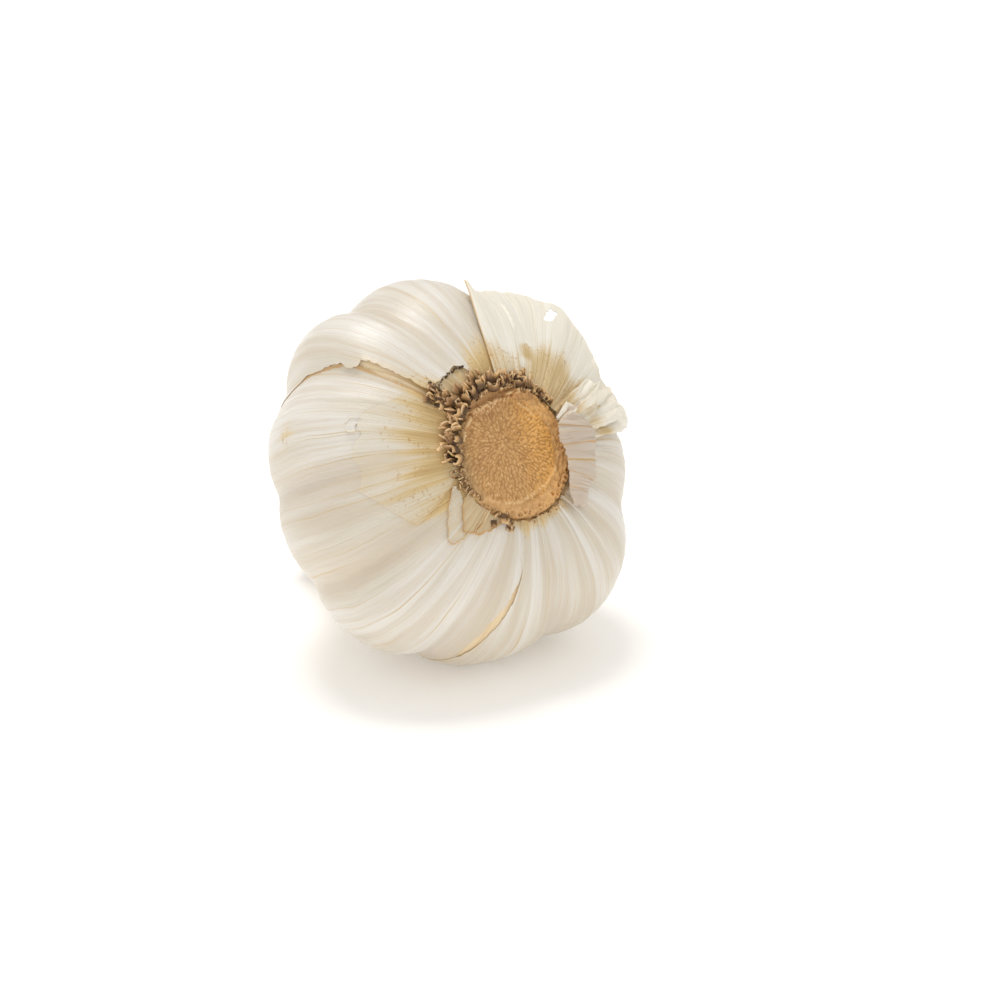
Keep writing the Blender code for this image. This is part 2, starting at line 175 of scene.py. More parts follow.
def over_bulb(azimuth, reach, lift=0.0):
    """Points over the skin: round the bulb, down from the rim, and lifted off along the normal."""
    azimuth, reach, lift = np.broadcast_arrays(azimuth, reach, lift)
    radius, depth = (np.interp(reach, reaches, curve[:, k]) for k in (0, 1))
    run_r, run_d = (np.interp(reach, reaches, slopes[:, k]) for k in (0, 1))
    push = np.interp(azimuth, PUSH_ANGLES, PUSHES, period=360)
    swell = np.sin(np.pi * np.clip(depth / 44, 0, 1) ** 0.6)
    beside_rim = np.where(depth < WIDEST_DEPTH, np.clip((radius - RIM_RADIUS) / 4, 0, 1), 1)
    share = (0.25 * beside_rim + 0.75 * swell) * np.clip((58 - depth) / 16, 0.15, 1)
    neck = np.clip((depth - NECK_START) / (BULB_LENGTH - NECK_START), 0, 1)
    flute = 0.05 * neck * np.sin(np.radians(7 * azimuth) + 2 * neck)
    rise = lift + unevenness(azimuth, reach)
    radius = radius * (1 + (push - 1) * share + flute) + rise * run_d
    turn = np.radians(azimuth)
    points = np.stack([radius * np.cos(turn), radius * np.sin(turn) - NECK_SAG * neck ** 2,
                       -depth + rise * run_r], axis=-1)
    placed = in_scene(points)
    placed[..., 2] = np.maximum(placed[..., 2], 0.00005)
    return placed


print("the root end points", ROOTWARD.round(2))

# %% [markdown]
# ## Camera, light and floor
# The photograph looks down on the bulb from the front left, with a long lens. The bulb stands a
# little left of the middle, which is a small lens shift. A broad soft light hangs above it, a little
# to the left, a weaker one stands near the camera, and a pale room fills the shadows.

# %% Camera
LENS = 100.0
SENSOR = 36.0
CAMERA_AZIMUTH = math.radians(-37.6)
CAMERA_RISE = math.radians(22.0)
MM_PER_PIXEL = 0.162
IMAGE = 1000
BULB_PIXEL = (456, 474)     # where the middle of the widest ring stands in the photograph

look_back = Vector((math.sin(CAMERA_AZIMUTH) * math.cos(CAMERA_RISE),
                    -math.cos(CAMERA_AZIMUTH) * math.cos(CAMERA_RISE), math.sin(CAMERA_RISE)))
aim = Vector(in_scene(np.array([0.0, 0.0, -WIDEST_DEPTH])))
distance = MM_PER_PIXEL * IMAGE * LENS / SENSOR * MM
bpy.ops.object.camera_add(location=aim + look_back * distance)
camera = bpy.context.object
camera.rotation_euler = look_back.to_track_quat("Z", "Y").to_euler()
camera.data.lens = LENS
camera.data.sensor_width = SENSOR
camera.data.shift_x = (IMAGE / 2 - BULB_PIXEL[0]) / IMAGE
camera.data.shift_y = (BULB_PIXEL[1] - IMAGE / 2) / IMAGE
camera.data.clip_start = 0.01
bpy.context.scene.camera = camera
print("camera stands", round(distance, 3), "m from the bulb")

# %% Light, room and floor
camera_up = (Vector((0, 0, 1)) - look_back * look_back.z).normalized()
camera_right = camera_up.cross(look_back)


def soft_light(name, right, up, back, size, power):
    """A square light placed from the camera's point of view, facing the bulb."""
    place = aim + camera_right * right + camera_up * up + look_back * back
    bpy.ops.object.light_add(type="AREA", location=place)
    light = bpy.context.object
    light.name = name
    light.data.shape = "SQUARE"
    light.data.size = size
    light.data.energy = power
    light.rotation_euler = (place - aim).to_track_quat("Z", "Y").to_euler()


soft_light("key_light", -0.33, 2.35, 0.25, 0.9, 26.0)
soft_light("fill_light", -0.2, -0.4, 2.2, 1.8, 9.0)
world = bpy.data.worlds.new("pale_room")
world.use_nodes = True
world.node_tree.nodes["Background"].inputs["Color"].default_value = (1.0, 0.985, 0.96, 1)
world.node_tree.nodes["Background"].inputs["Strength"].default_value = 0.7
bpy.context.scene.world = world
bpy.context.scene.view_settings.view_transform = "Standard"
bpy.ops.mesh.primitive_plane_add(size=80.0, location=(0, 0, -0.0001))
floor = bpy.context.object
floor.name = "floor"
print("one broad light, one fill and a pale room")

# %% [markdown]
# ## Writing materials as sums
# A material is a graph of nodes. Written as sums it is easier to read: each `Wire` is the output of
# a node, and adding or multiplying two of them adds a Math node. Colours go through Mix nodes, as a
# Math node would turn them grey.

# %% A wire that can be added and multiplied
class Wire:
    """One output of a node."""
    def __init__(self, paint, socket):
        self.paint, self.socket = paint, socket

    def math(self, operation, first, second):
        return self.paint.node("ShaderNodeMath", {"operation": operation}, [first, second])

    def __add__(self, other):
        return self.math("ADD", self, other)

    def __sub__(self, other):
        return self.math("SUBTRACT", self, other)

    def __rsub__(self, other):
        return self.math("SUBTRACT", other, self)

    def __mul__(self, other):
        return self.math("MULTIPLY", self, other)

    def __abs__(self):
        return self.paint.node("ShaderNodeMath", {"operation": "ABSOLUTE"}, [self])

    __radd__ = __add__
    __rmul__ = __mul__


class Paint:
    """A Principled material, built up from wires."""
    def __init__(self, name, **constants):
        self.material = bpy.data.materials.new(name)
        self.material.use_nodes = True
        self.tree = self.material.node_tree
        self.shader = self.tree.nodes["Principled BSDF"]
        for socket, value in constants.items():
            self.shader.inputs[socket.replace("_", " ")].default_value = value

    def node(self, kind, settings, sockets, output=0):
        """Adds a node: settings first, then a value or a wire for each socket, by number or name."""
        node = self.tree.nodes.new(kind)
        for name, value in settings.items():
            setattr(node, name, value)
        pairs = sockets.items() if isinstance(sockets, dict) else enumerate(sockets)
        for socket, value in pairs:
            if isinstance(value, Wire):
                self.tree.links.new(value.socket, node.inputs[socket])
            else:
                node.inputs[socket].default_value = value
        return Wire(self, node.outputs[output])

    def attribute(self, name, output="Fac"):
        return self.node("ShaderNodeAttribute", {"attribute_name": name}, {}, output)

    def noise(self, place, stretch, detail=2.0, roughness=0.55):
        """Random values from 0 to 1, `stretch` of them a unit along each direction."""
        scaled = self.node("ShaderNodeVectorMath", {"operation": "MULTIPLY"}, [place, stretch])
        return self.node("ShaderNodeTexNoise", {}, {"Vector": scaled, "Scale": 1.0, "Detail": detail,
                                                    "Roughness": roughness}, "Fac")

    def between(self, value, low, high):
        """0 below low, 1 above high, and a soft step between."""
        return self.node("ShaderNodeMapRange", {"interpolation_type": "SMOOTHSTEP"},
                         {"Value": value, "From Min": low, "From Max": high})

    def lines(self, place, often, width):
        """Lines of one width along y, `often` of them a unit, that come and go and keep uneven gaps."""
        warped = self.noise(place, (often * 1.4, 0.006, 1), 1.0) * 1.6
        along_x = self.node("ShaderNodeSeparateXYZ", {}, [place]) * often + warped
        within = self.node("ShaderNodeMath", {"operation": "FRACT"}, [along_x])
        cell = self.node("ShaderNodeMath", {"operation": "FLOOR"}, [along_x])
        along_y = self.node("ShaderNodeSeparateXYZ", {}, [place], 1) * 0.035
        cell_spot = self.node("ShaderNodeCombineXYZ", {}, [cell * 3.7, along_y, 0.0])
        strength = self.noise(cell_spot, (1, 1, 1), 2.0)
        line = 1 - self.between(abs(within - 0.5), width * 0.4, width)
        return line * self.between(strength, 0.38, 0.68)

    def mix(self, share, base, other):
        colours = {6: base if isinstance(base, Wire) else (*base, 1),
                   7: other if isinstance(other, Wire) else (*other, 1)}
        return self.node("ShaderNodeMix", {"data_type": "RGBA"}, {0: share, **colours}, 2)

    def cover(self, colour, *layers):
        """Lays colours over a first one; each layer is its share and its colour."""
        for share, other in layers:
            colour = self.mix(share, colour, other)
        return colour

    def feed(self, socket, wire):
        self.tree.links.new(wire.socket, self.shader.inputs[socket])

    def bump(self, height, depth):
        """Raises the surface by a height from 0 to 1, times a depth in metres."""
        self.feed("Normal", self.node("ShaderNodeBump", {}, {"Height": height, "Strength": 1.0,
                                                             "Distance": depth}, "Normal"))


floor_paint = Paint("pale_floor", Roughness=0.6, Specular_IOR_Level=0.2, Emission_Color=(1.0, 1.0, 1.0, 1.0),
                    Emission_Strength=0.17)
room_place = floor_paint.node("ShaderNodeTexCoord", {}, {}, "Object")
floor_paint.feed("Base Color", floor_paint.mix(floor_paint.noise(room_place, (9, 9, 9)), (0.93, 0.93, 0.92),
                                               (0.95, 0.95, 0.945)))
floor.data.materials.append(floor_paint.material)
print("floor painted")

# %% [markdown]
# ## Papery skin
# Garlic skin is ivory white, with fine streaks along its fibres, ochre veins some millimetres apart,
# pinkish grey bands where it is thin and clings, and ochre or olive stains by the roots. All of it
# follows the fibres, so the pattern is drawn in the skin's own coordinates: x round the bulb and y
# from root to neck, kept on every point as an attribute. Noise squeezed along y gives streaks. Veins
# are lines of one width along y, which a noise bends and another noise fades in and out.

# %% Skin finishes
SOAKED, SOAKED_VEIN = (0.48, 0.28, 0.085), (0.55, 0.29, 0.07)
SPECK, DRY_RIM = (0.50, 0.25, 0.06), (0.60, 0.33, 0.11)


def skin_paint(name, ivory, shade, warm, vein, stain, veins=0.8, roughness=0.33):
    """A dry skin: broad pale bands, soft streaks and fine fibres, then veins, stains and specks."""
    paint = Paint(name, Subsurface_Weight=0.2, Subsurface_Radius=(1.0, 0.75, 0.5), Subsurface_Scale=0.0012,
                  Specular_IOR_Level=0.5)
    grain = paint.attribute("grain", "Vector")
    stained = paint.attribute("stain")
    torn = paint.attribute("torn")
    valley = paint.attribute("valley")
    sideways = (paint.noise(grain, (0.08, 0.05, 1)) - 0.5) * 2.6
    bent = paint.node("ShaderNodeVectorMath", {"operation": "ADD"}, [
        grain, paint.node("ShaderNodeCombineXYZ", {}, [sideways, 0.0, 0.0])])
    bands = paint.noise(bent, (0.17, 0.02, 1), 2.0, 0.5)
    streaks = paint.noise(bent, (0.62, 0.03, 1), 2.0, 0.5)
    fibres = paint.noise(bent, (3.4, 0.08, 1), 3.0, 0.6)
    hairline = paint.lines(bent, 1.3, 0.075)
    soak = paint.between(stained + (streaks - 0.5) * 1.2 + (fibres - 0.5) * 1.1, 0.15, 0.95)
    deep = paint.between(stained + (streaks - 0.5) * 0.8 + (fibres - 0.5) * 1.5, 0.62, 1.35)
    clusters = paint.between(paint.noise(grain, (0.22, 0.3, 1), 2.0), 0.46, 0.56)
    specks = paint.between(paint.noise(grain, (1.0, 1.5, 1), 3.0, 0.75), 0.55, 0.63) * clusters
    paint.feed("Base Color", paint.cover(
        ivory,
        (paint.between(bands, 0.36, 0.64), shade),
        (paint.between(streaks, 0.42, 0.68) * 0.45, warm),
        # painted shade: deep between the cloves the skin turns to its warm, darker colour
        (valley * 0.5, warm),
        (paint.between(fibres, 0.45, 0.75) * 0.3, warm),
        (hairline * 0.4 * veins, vein),
        (paint.lines(bent, 0.5, 0.045) * veins, vein),
        (soak * 0.85, stain),
        (deep * 0.65, SOAKED),
        (hairline * soak * 0.6, SOAKED_VEIN),
        (specks * paint.between(stained, 0.2, 0.5) * 0.65, SPECK),
        (paint.between(torn, 0.2, 0.95) * 0.8, DRY_RIM)))
    paint.feed("Roughness", roughness + (fibres - 0.5) * 0.25)
    paint.bump(fibres * 0.5 + streaks * 0.5, 0.0002)
    return paint.material


OCHRE = (0.64, 0.43, 0.15)
ROOT_STAIN = (0.77, 0.53, 0.215)
outer_finish = skin_paint("papery_skin", (0.86, 0.795, 0.70), (0.72, 0.625, 0.485), (0.66, 0.535, 0.40),
                          OCHRE, ROOT_STAIN)
inner_finish = skin_paint("inner_skin", (0.86, 0.70, 0.47), (0.80, 0.62, 0.39), (0.72, 0.52, 0.30), OCHRE,
                          (0.55, 0.36, 0.14), 0.6, 0.5)
torn_finish = skin_paint("torn_skin", (0.93, 0.88, 0.76), (0.88, 0.81, 0.67), (0.85, 0.77, 0.62), OCHRE,
                         (0.70, 0.50, 0.235), 0.6, 0.45)
layer_finish = skin_paint("stuck_skin", (0.82, 0.74, 0.61), (0.76, 0.66, 0.50), (0.72, 0.58, 0.40), OCHRE,
                          (0.72, 0.50, 0.21), 1.0, 0.42)
grey_finish = skin_paint("greyish_skin", (0.83, 0.78, 0.69), (0.77, 0.71, 0.61), (0.75, 0.67, 0.55), OCHRE,
                         (0.64, 0.47, 0.21), 0.5, 0.45)
scrap_finish = skin_paint("tan_skin", (0.76, 0.59, 0.36), (0.68, 0.50, 0.28), (0.60, 0.38, 0.17),
                          (0.42, 0.22, 0.07), (0.60, 0.40, 0.17), 0.8, 0.5)
fold_finish = skin_paint("folded_skin", (0.63, 0.53, 0.43), (0.56, 0.46, 0.37), (0.60, 0.47, 0.35),
                         (0.56, 0.36, 0.14), (0.60, 0.44, 0.24), 1.0, 0.45)
print("seven skin finishes")

# %% [markdown]
# ## Sheets of skin
# A skin is a grid whose points are laid over the bulb one by one: `u` runs round the bulb and `v`
# down it. Its edges follow the tears. The grid is the primitive, the formula is the shaping, and a
# Solidify modifier gives the sheet its thickness, inwards, so that its face stays where it was laid.

# %% Make a sheet
def deselect():
    bpy.ops.object.select_all(action="DESELECT")


def grid_points(columns, rows):
    """A flat unit grid, with the u and v of its points."""
    deselect()
    bpy.ops.mesh.primitive_grid_add(x_subdivisions=columns, y_subdivisions=rows, size=1)
    piece = bpy.context.object
    flat = np.empty(len(piece.data.vertices) * 3)
    piece.data.vertices.foreach_get("co", flat)
    flat = flat.reshape(-1, 3)
    return piece, flat[:, 0] + 0.5, flat[:, 1] + 0.5


def keep(mesh, **layers):
    """Writes numbers or vectors to the points, each under its own name."""
    for name, values in layers.items():
        kind, field = ("FLOAT", "value") if values.ndim == 1 else ("FLOAT_VECTOR", "vector")
        mesh.attributes.new(name, kind, "POINT").data.foreach_set(field, values.astype(np.float32).ravel())


def close_seams(face_out=True, distance=0.00001):
    """Merges points that lie together, and can turn the faces outwards."""
    bpy.ops.object.mode_set(mode="EDIT")
    bpy.ops.mesh.select_all(action="SELECT")
    bpy.ops.mesh.remove_doubles(threshold=distance)
    if face_out:
        bpy.ops.mesh.normals_make_consistent(inside=False)
    bpy.ops.object.mode_set(mode="OBJECT")


SKIN_WALL, THIN_WALL, SCRAP_WALL = 0.12, 0.1, 0.08
SKIN_SMOOTH = 50        # degrees


def thicken(piece, thickness, finish):
    """Faces out, a thickness inwards, smooth shading and a finish."""
    deselect()
    bpy.context.view_layer.objects.active = piece
    piece.select_set(True)
    wall = piece.modifiers.new("wall", "SOLIDIFY")
    wall.thickness = thickness * MM
    wall.offset = -1.0
    bpy.ops.object.modifier_apply(modifier="wall")
    bpy.ops.object.shade_smooth_by_angle(angle=math.radians(SKIN_SMOOTH))
    piece.data.materials.append(finish)


def dress(piece, name, slot, *nodes):
    """Names a piece and ties it to the body, and hides the frame's nodes that it stands for; the slot is not
    used.
    """
    piece.name = name
    piece.data.name = name
    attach(piece, "root")
    if nodes:
        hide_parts(*nodes)
    print(name, "has", len(piece.data.polygons), "faces")


def valley_tint(azimuth, reach):
    """Painted shade: 1 deep between two cloves, 0 on their backs."""
    push = np.interp(azimuth, PUSH_ANGLES, PUSHES, period=360)
    return smooth_step(1.0 - push, 0.0, 0.05) * smooth_step(reach, 4, 12)


def laid_sheet(columns, rows, place, thickness, finish, stain=None, torn=None, wrapped=False, hole=None):
    """A grid laid over the bulb: place(u, v) gives azimuth, reach and lift."""
    piece, u, v = grid_points(columns, rows)
    azimuth, reach, lift = place(1 - u, v)
    points = over_bulb(azimuth, reach, lift)
    piece.data.vertices.foreach_set("co", points.ravel())
    arc = np.radians(azimuth) * BULB_RADIUS
    keep(piece.data, grain=np.stack([arc, reach, 0 * arc], axis=-1),
         stain=0 * arc if stain is None else stain(azimuth, reach),
         torn=0 * arc if torn is None else torn(azimuth, reach), valley=valley_tint(azimuth, reach))
    if wrapped:
        close_seams(face_out=False)
    if hole is not None:
        cut_hole(piece, hole(azimuth, reach))
    piece.data.update()
    thicken(piece, thickness, finish)
    return piece


def cut_hole(piece, inside):
    """Deletes the points of a sheet that lie inside a hole, before it gets its thickness."""
    bpy.ops.object.mode_set(mode="EDIT")
    bpy.ops.mesh.select_mode(type="VERT")
    bpy.ops.mesh.select_all(action="DESELECT")
    bpy.ops.object.mode_set(mode="OBJECT")
    piece.data.vertices.foreach_set("select", inside)
    bpy.ops.object.mode_set(mode="EDIT")
    bpy.ops.mesh.delete(type="VERT")
    bpy.ops.object.mode_set(mode="OBJECT")


def border(points):
    """The azimuth of a skin's edge at any reach, through (reach, azimuth) points."""
    places = np.arange(-4.0, NECK_END + 4, 0.25)
    edge = np.interp(places, *zip(*points))
    edge = np.convolve(np.pad(edge, 4, mode="edge"), np.full(9, 1 / 9), "valid")
    return lambda reach: np.interp(reach, places, edge)


print("sheets are ready to be laid")

# %% [markdown]
# ## The bulb's outer skins
# Three sheets wrap the bulb. They meet at the splits that the photograph shows: one over the upper
# left clove, where the upper sheet's edge lifts, and one at the bottom, where a tan inner skin
# shows between two edges. Past the end of a split, one sheet runs under the next, as dry skins do.

# %% Edges of the sheets
upper_lip = border([(0, 131.5), (8, 131.5), (12, 131.5), (17.3, 130.8), (19.7, 132.5), (24, 134.5),
                    (29.5, 136.5), (34, 140), (44, 142), (86, 142)])
upper_under = border([(0, 137), (4, 136.2), (8, 135.2), (12, 134.6), (14, 134.1), (18, 133.2),
                      (19.7, 132.6), (21.5, 132.9), (24, 134.0), (28, 135.4), (32, 137.2), (36, 138.2),
                      (42, 136), (86, 132)])
lower_left = border([(0, 254.5), (4.2, 255.5), (6.7, 256.3), (9, 256.0), (11, 254.4), (13, 252.9),
                     (16, 251.0), (20, 248.5), (23.5, 246.7), (27, 246.6), (31, 252), (86, 253)])
lower_right = border([(0, 254), (2, 254.5), (4.3, 255), (6.7, 255.7), (10.5, 255.7), (14.6, 254.2),
                      (20, 251.3), (24, 249.4), (27, 247.6), (30, 246.8), (86, 246)])


def edge_fray(azimuth_side, reach, seed, size=0.18):
    """Small tears along an edge, in degrees."""
    radius = np.maximum(np.interp(reach, reaches, curve[:, 0]), 3)
    tears = wander(reach * 0 + azimuth_side, 90, reach, 0.5, seed)
    tears = tears + wander(reach * 0, 90, reach, 1.7, seed + 1)
    return np.degrees(size * tears / radius)


def span(start, stop, u, foot, end, v):
    """Azimuth and reach inside a sheet that runs from one edge to another."""
    reach = foot + (end - foot) * v
    return start(reach) + (stop(reach) - start(reach)) * u, reach


def root_stain(azimuth, reach):
    """Ochre soaks in by the roots, most on the left and the upper right."""
    turned = (azimuth + 90) % 360 - 90
    left = smooth_step(turned, 112, 135) * (1 - smooth_step(turned, 192, 215))
    top = smooth_step(turned, 20, 40) * (1 - smooth_step(turned, 95, 112))
    reachable = 3.0 + 13.0 * left + 9.0 * top + 2.0 * wander(azimuth, 60, reach, 30, 21)
    patch = 0.55 * np.exp(-((turned - 155.5) / 4) ** 2 - ((reach - 29.5) / 2.5) ** 2)
    strong = 0.8 + 0.3 * np.maximum(left, top) - 0.45 * np.exp(-((turned + 38) / 22) ** 4)
    return (1 - smooth_step(reach, 0.2 * reachable, reachable)) * strong + patch


print("the upper split starts at", float(upper_lip(8.0)), "degrees")

# %% Left sheet
def left_place(u, v):
    foot = 0.6 + 0.5 * edge_wander(134 + 120 * u, 120, 31)
    end = NECK_END - 0.8 + 0.9 * edge_wander(134 + 120 * u, 70, 32)
    azimuth, reach = span(upper_under, lower_left, u, foot, end, v)
    azimuth = azimuth + edge_fray(0, reach, 41) * ((1 - u) ** 30 + u ** 30)
    return azimuth, reach, 0.0 * u


def left_tear(azimuth, reach):
    """The orange rim along the split."""
    width = np.interp(reach, [19, 22], [0.7, 0.4])
    beside = (azimuth - np.maximum(upper_under(reach), upper_lip(reach) + 0.2)) / width
    in_split = smooth_step(reach, 6, 9) * (1 - smooth_step(reach, 38, 42))
    return 1.3 * np.exp(-np.clip(beside, 0, 9) ** 2) * in_split


left_skin = laid_sheet(150, 180, left_place, SKIN_WALL, outer_finish, root_stain, left_tear)
dress(left_skin, "left_skin", "papery_skin", "bulb")

# %% Right sheet
def right_place(u, v):
    azimuth_guess = 250 + 120 * u
    foot = 0.15 + 0.25 * edge_wander(azimuth_guess, 120, 33)
    end = NECK_END - 0.3 + 0.9 * edge_wander(azimuth_guess, 70, 34)
    right_edge = border([(0, 370), (86, 372)])
    azimuth, reach = span(lower_right, right_edge, u, foot, end, v)
    azimuth = azimuth + edge_fray(90, reach, 43) * ((1 - u) ** 30)
    over_left = smooth_step(reach, 22, 30)
    lift = 0.14 * over_left * np.exp(-u * 12) + 0.1 * np.exp(-u * 70) * (1 - over_left)
    return azimuth, reach, lift


right_skin = laid_sheet(150, 180, right_place, SKIN_WALL, outer_finish, root_stain)
dress(right_skin, "right_skin", "papery_skin", "bulb")

# %% Upper sheet, with its lifted edge over the split
def upper_place(u, v):
    start = border([(0, 364.5), (30, 365), (86, 363)])
    azimuth_guess = 364 + 130 * u
    stop = lambda reach: upper_lip(reach) + 360
    ragged = smooth_step(azimuth_guess, 462, 470)
    foot = 1.6 + ragged * 4.2 + (0.5 + 0.1 * ragged) * edge_wander(azimuth_guess, 140, 35)
    end = NECK_END + 0.3 + 0.9 * edge_wander(azimuth_guess, 70, 36)
    azimuth, reach = span(start, stop, u, foot, end, v)
    tab = 2.3 * np.sqrt(np.clip(1 - ((reach - 19.4) / 1.5) ** 2, 0, 1))
    azimuth = azimuth + (edge_fray(180, reach, 45, 0.14) + tab) * (u ** 40)
    edge = (1 - u) * 134
    open_edge = smooth_step(reach, 6, 12) * (1 - smooth_step(reach, 19, 24))
    lift = 0.14 + np.exp(-edge / 5) * 0.04 + np.exp(-edge / 1.6) * open_edge * 0.35
    lift = lift + ragged * 0.3 * np.exp(-(reach - foot) / 1.0)
    return azimuth, reach, lift


upper_skin = laid_sheet(170, 180, upper_place, SKIN_WALL, outer_finish, root_stain)
dress(upper_skin, "upper_skin", "papery_skin", "bulb")

# %% [markdown]
# Under the sheets lies the skin that shows in the splits and under the lifted edges. It is a closed
# body, so that nothing behind a tear is ever empty: the grid wraps right round, and its first and last
# rows close on the axis.

# %% Inner body
def inner_body():
    piece, u, v = grid_points(180, 150)
    azimuth = 360 * (1 - u)
    reach = -RIM_RADIUS + (NECK_END + RIM_RADIUS - 1.5) * v
    points = over_bulb(azimuth, reach, -0.21 + 0.08 * np.exp(-((azimuth - 251) / 9) ** 2))
    first, last = v < 0.001, v > 0.999
    points[first] = over_bulb(np.array([0.0]), np.array([-RIM_RADIUS]), -0.4)[0]
    points[last] = points[last].mean(0)
    sunk = (reach < 0)[:, None] * (ROOTWARD * -0.6 * MM)
    piece.data.vertices.foreach_set("co", (points + sunk).ravel())
    arc = np.radians(azimuth) * BULB_RADIUS
    keep(piece.data, grain=np.stack([arc, reach, np.ones_like(arc)], axis=-1),
         stain=root_stain(azimuth, reach))
    close_seams()
    bpy.ops.object.shade_smooth()
    piece.data.materials.append(inner_finish)
    return piece


body = inner_body()
dress(body, "inner_skin", "papery_skin", "bulb")

# %% [markdown]
# ## The root plate
# The plate is the bulb's own stem, a corky disc that the roots grew from. Its middle is covered with
# small pimples that radiate from one point, a crest runs along its upper left, and the ring outside
# carries the pits of fallen roots. The pimples are raised in the mesh: each point of a fine round
# grid looks up the three nearest pimples in a tree, and takes the height of the tallest there.

# %% Lay points over the plate
def over_plate(across, up, height):
    """Points in the plate's own plane, raised towards the viewer."""
    return in_scene(np.stack([across, up, height], axis=-1))


RIM_AZIMUTHS = [0, 30, 60, 90, 120, 200, 212, 232, 252, 280, 330]
RIM_RADII = [10.3, 10.4, 10.9, 11.3, 11.5, 11.6, 11.5, 10.9, 10.5, 10.3, 10.3]
PIMPLE_FOCUS = np.array([-2.2, 2.4])
PIMPLE_RING = 0.53
CREST = [(-9.6, 4.0), (-8.2, 6.2), (-6.8, 7.5), (-5.2, 7.9), (-3.2, 8.2), (-1.0, 8.6), (1.4, 9.1), (3.4, 9.3)]
LOW_RIDGE = [(-10.2, -4.4), (-7.6, -6.2), (-6.0, -7.0), (-2.4, -7.7), (0.9, -6.9), (3.4, -6.2), (6.5, -4.0)]
LEFT_GROOVE = [(-8.4, 5.3), (-10.1, 2.0), (-10.6, -1.1), (-9.9, -4.0), (-8.2, -6.6)]
SHORT_RIDGE = [(3.0, 7.5), (4.4, 6.2), (5.2, 4.8)]


def pimple_middles():
    random = np.random.default_rng(11)
    middles = [PIMPLE_FOCUS]
    for ring in range(1, 22):
        count = round(2 * math.pi * ring * PIMPLE_RING / 0.5)
        turn = np.linspace(0, 2 * math.pi, count, endpoint=False) + random.uniform(0, 6)
        turn = turn + random.uniform(-0.42, 0.42, count) * 2 * math.pi / count
        out = ring * PIMPLE_RING + random.uniform(-0.24, 0.24, count)
        middles.extend(PIMPLE_FOCUS + np.stack([out * np.cos(turn), out * np.sin(turn)], axis=-1))
    return np.array(middles)


def pimples(points):
    """Height from 0 to 1 of the pimples at points in the plate's plane."""
    middles = pimple_middles()
    tree = KDTree(len(middles))
    for number, (x, y) in enumerate(middles):
        tree.insert((x, y, 0), number)
    tree.balance()
    random = np.random.default_rng(12)
    sizes, tops = random.uniform(0.65, 1.1, len(middles)), random.uniform(0.4, 1.0, len(middles))
    height = np.zeros(len(points))
    for row, (x, y) in enumerate(points):
        for middle, number, _ in tree.find_n((x, y, 0), 3):
            out = Vector((middle.x - PIMPLE_FOCUS[0], middle.y - PIMPLE_FOCUS[1]))
            away = Vector((x - middle.x, y - middle.y))
            out = out.normalized() if out.length > 0.01 else Vector((1, 0))
            along, beside = away.dot(out), away.x * out.y - away.y * out.x
            far = (along / (0.37 * sizes[number])) ** 2 + (beside / (0.22 * sizes[number])) ** 2
            height[row] = max(height[row], (1 - min(far, 1)) ** 0.8 * tops[number])
    return height


def from_line(points, line):
    """Distance of points to a line of straight stretches."""
    nearest = np.full(len(points), 99.0)
    for start, end in zip(np.array(line[:-1]), np.array(line[1:])):
        run = end - start
        share = np.clip((points - start) @ run / (run @ run), 0, 1)
        nearest = np.minimum(nearest, np.hypot(*(points - start - share[:, None] * run).T))
    return nearest


def root_pits():
    """Ring-shaped scars of fallen roots: a few on the face, and a row along the bare part of the rim."""
    random = np.random.default_rng(13)
    row = [(azimuth + random.uniform(-1.5, 1.5),
            np.interp(azimuth, RIM_AZIMUTHS, RIM_RADII) - random.uniform(0.25, 0.8))
           for azimuth in np.arange(178, 330, 6.6)]
    return np.array([(37, 10.0), (277, 9.0), (298, 8.9), (311, 9.0), (264, 9.5)] + row)


print(len(pimple_middles()), "pimples and", len(root_pits()), "scars")

# %% The plate's face
def root_arc(azimuth):
    """1 where the roots stood in rows, 0 elsewhere."""
    turned = (azimuth + 90) % 360 - 90
    return smooth_step(turned, 44, 56) * (1 - smooth_step(turned, 170, 182))


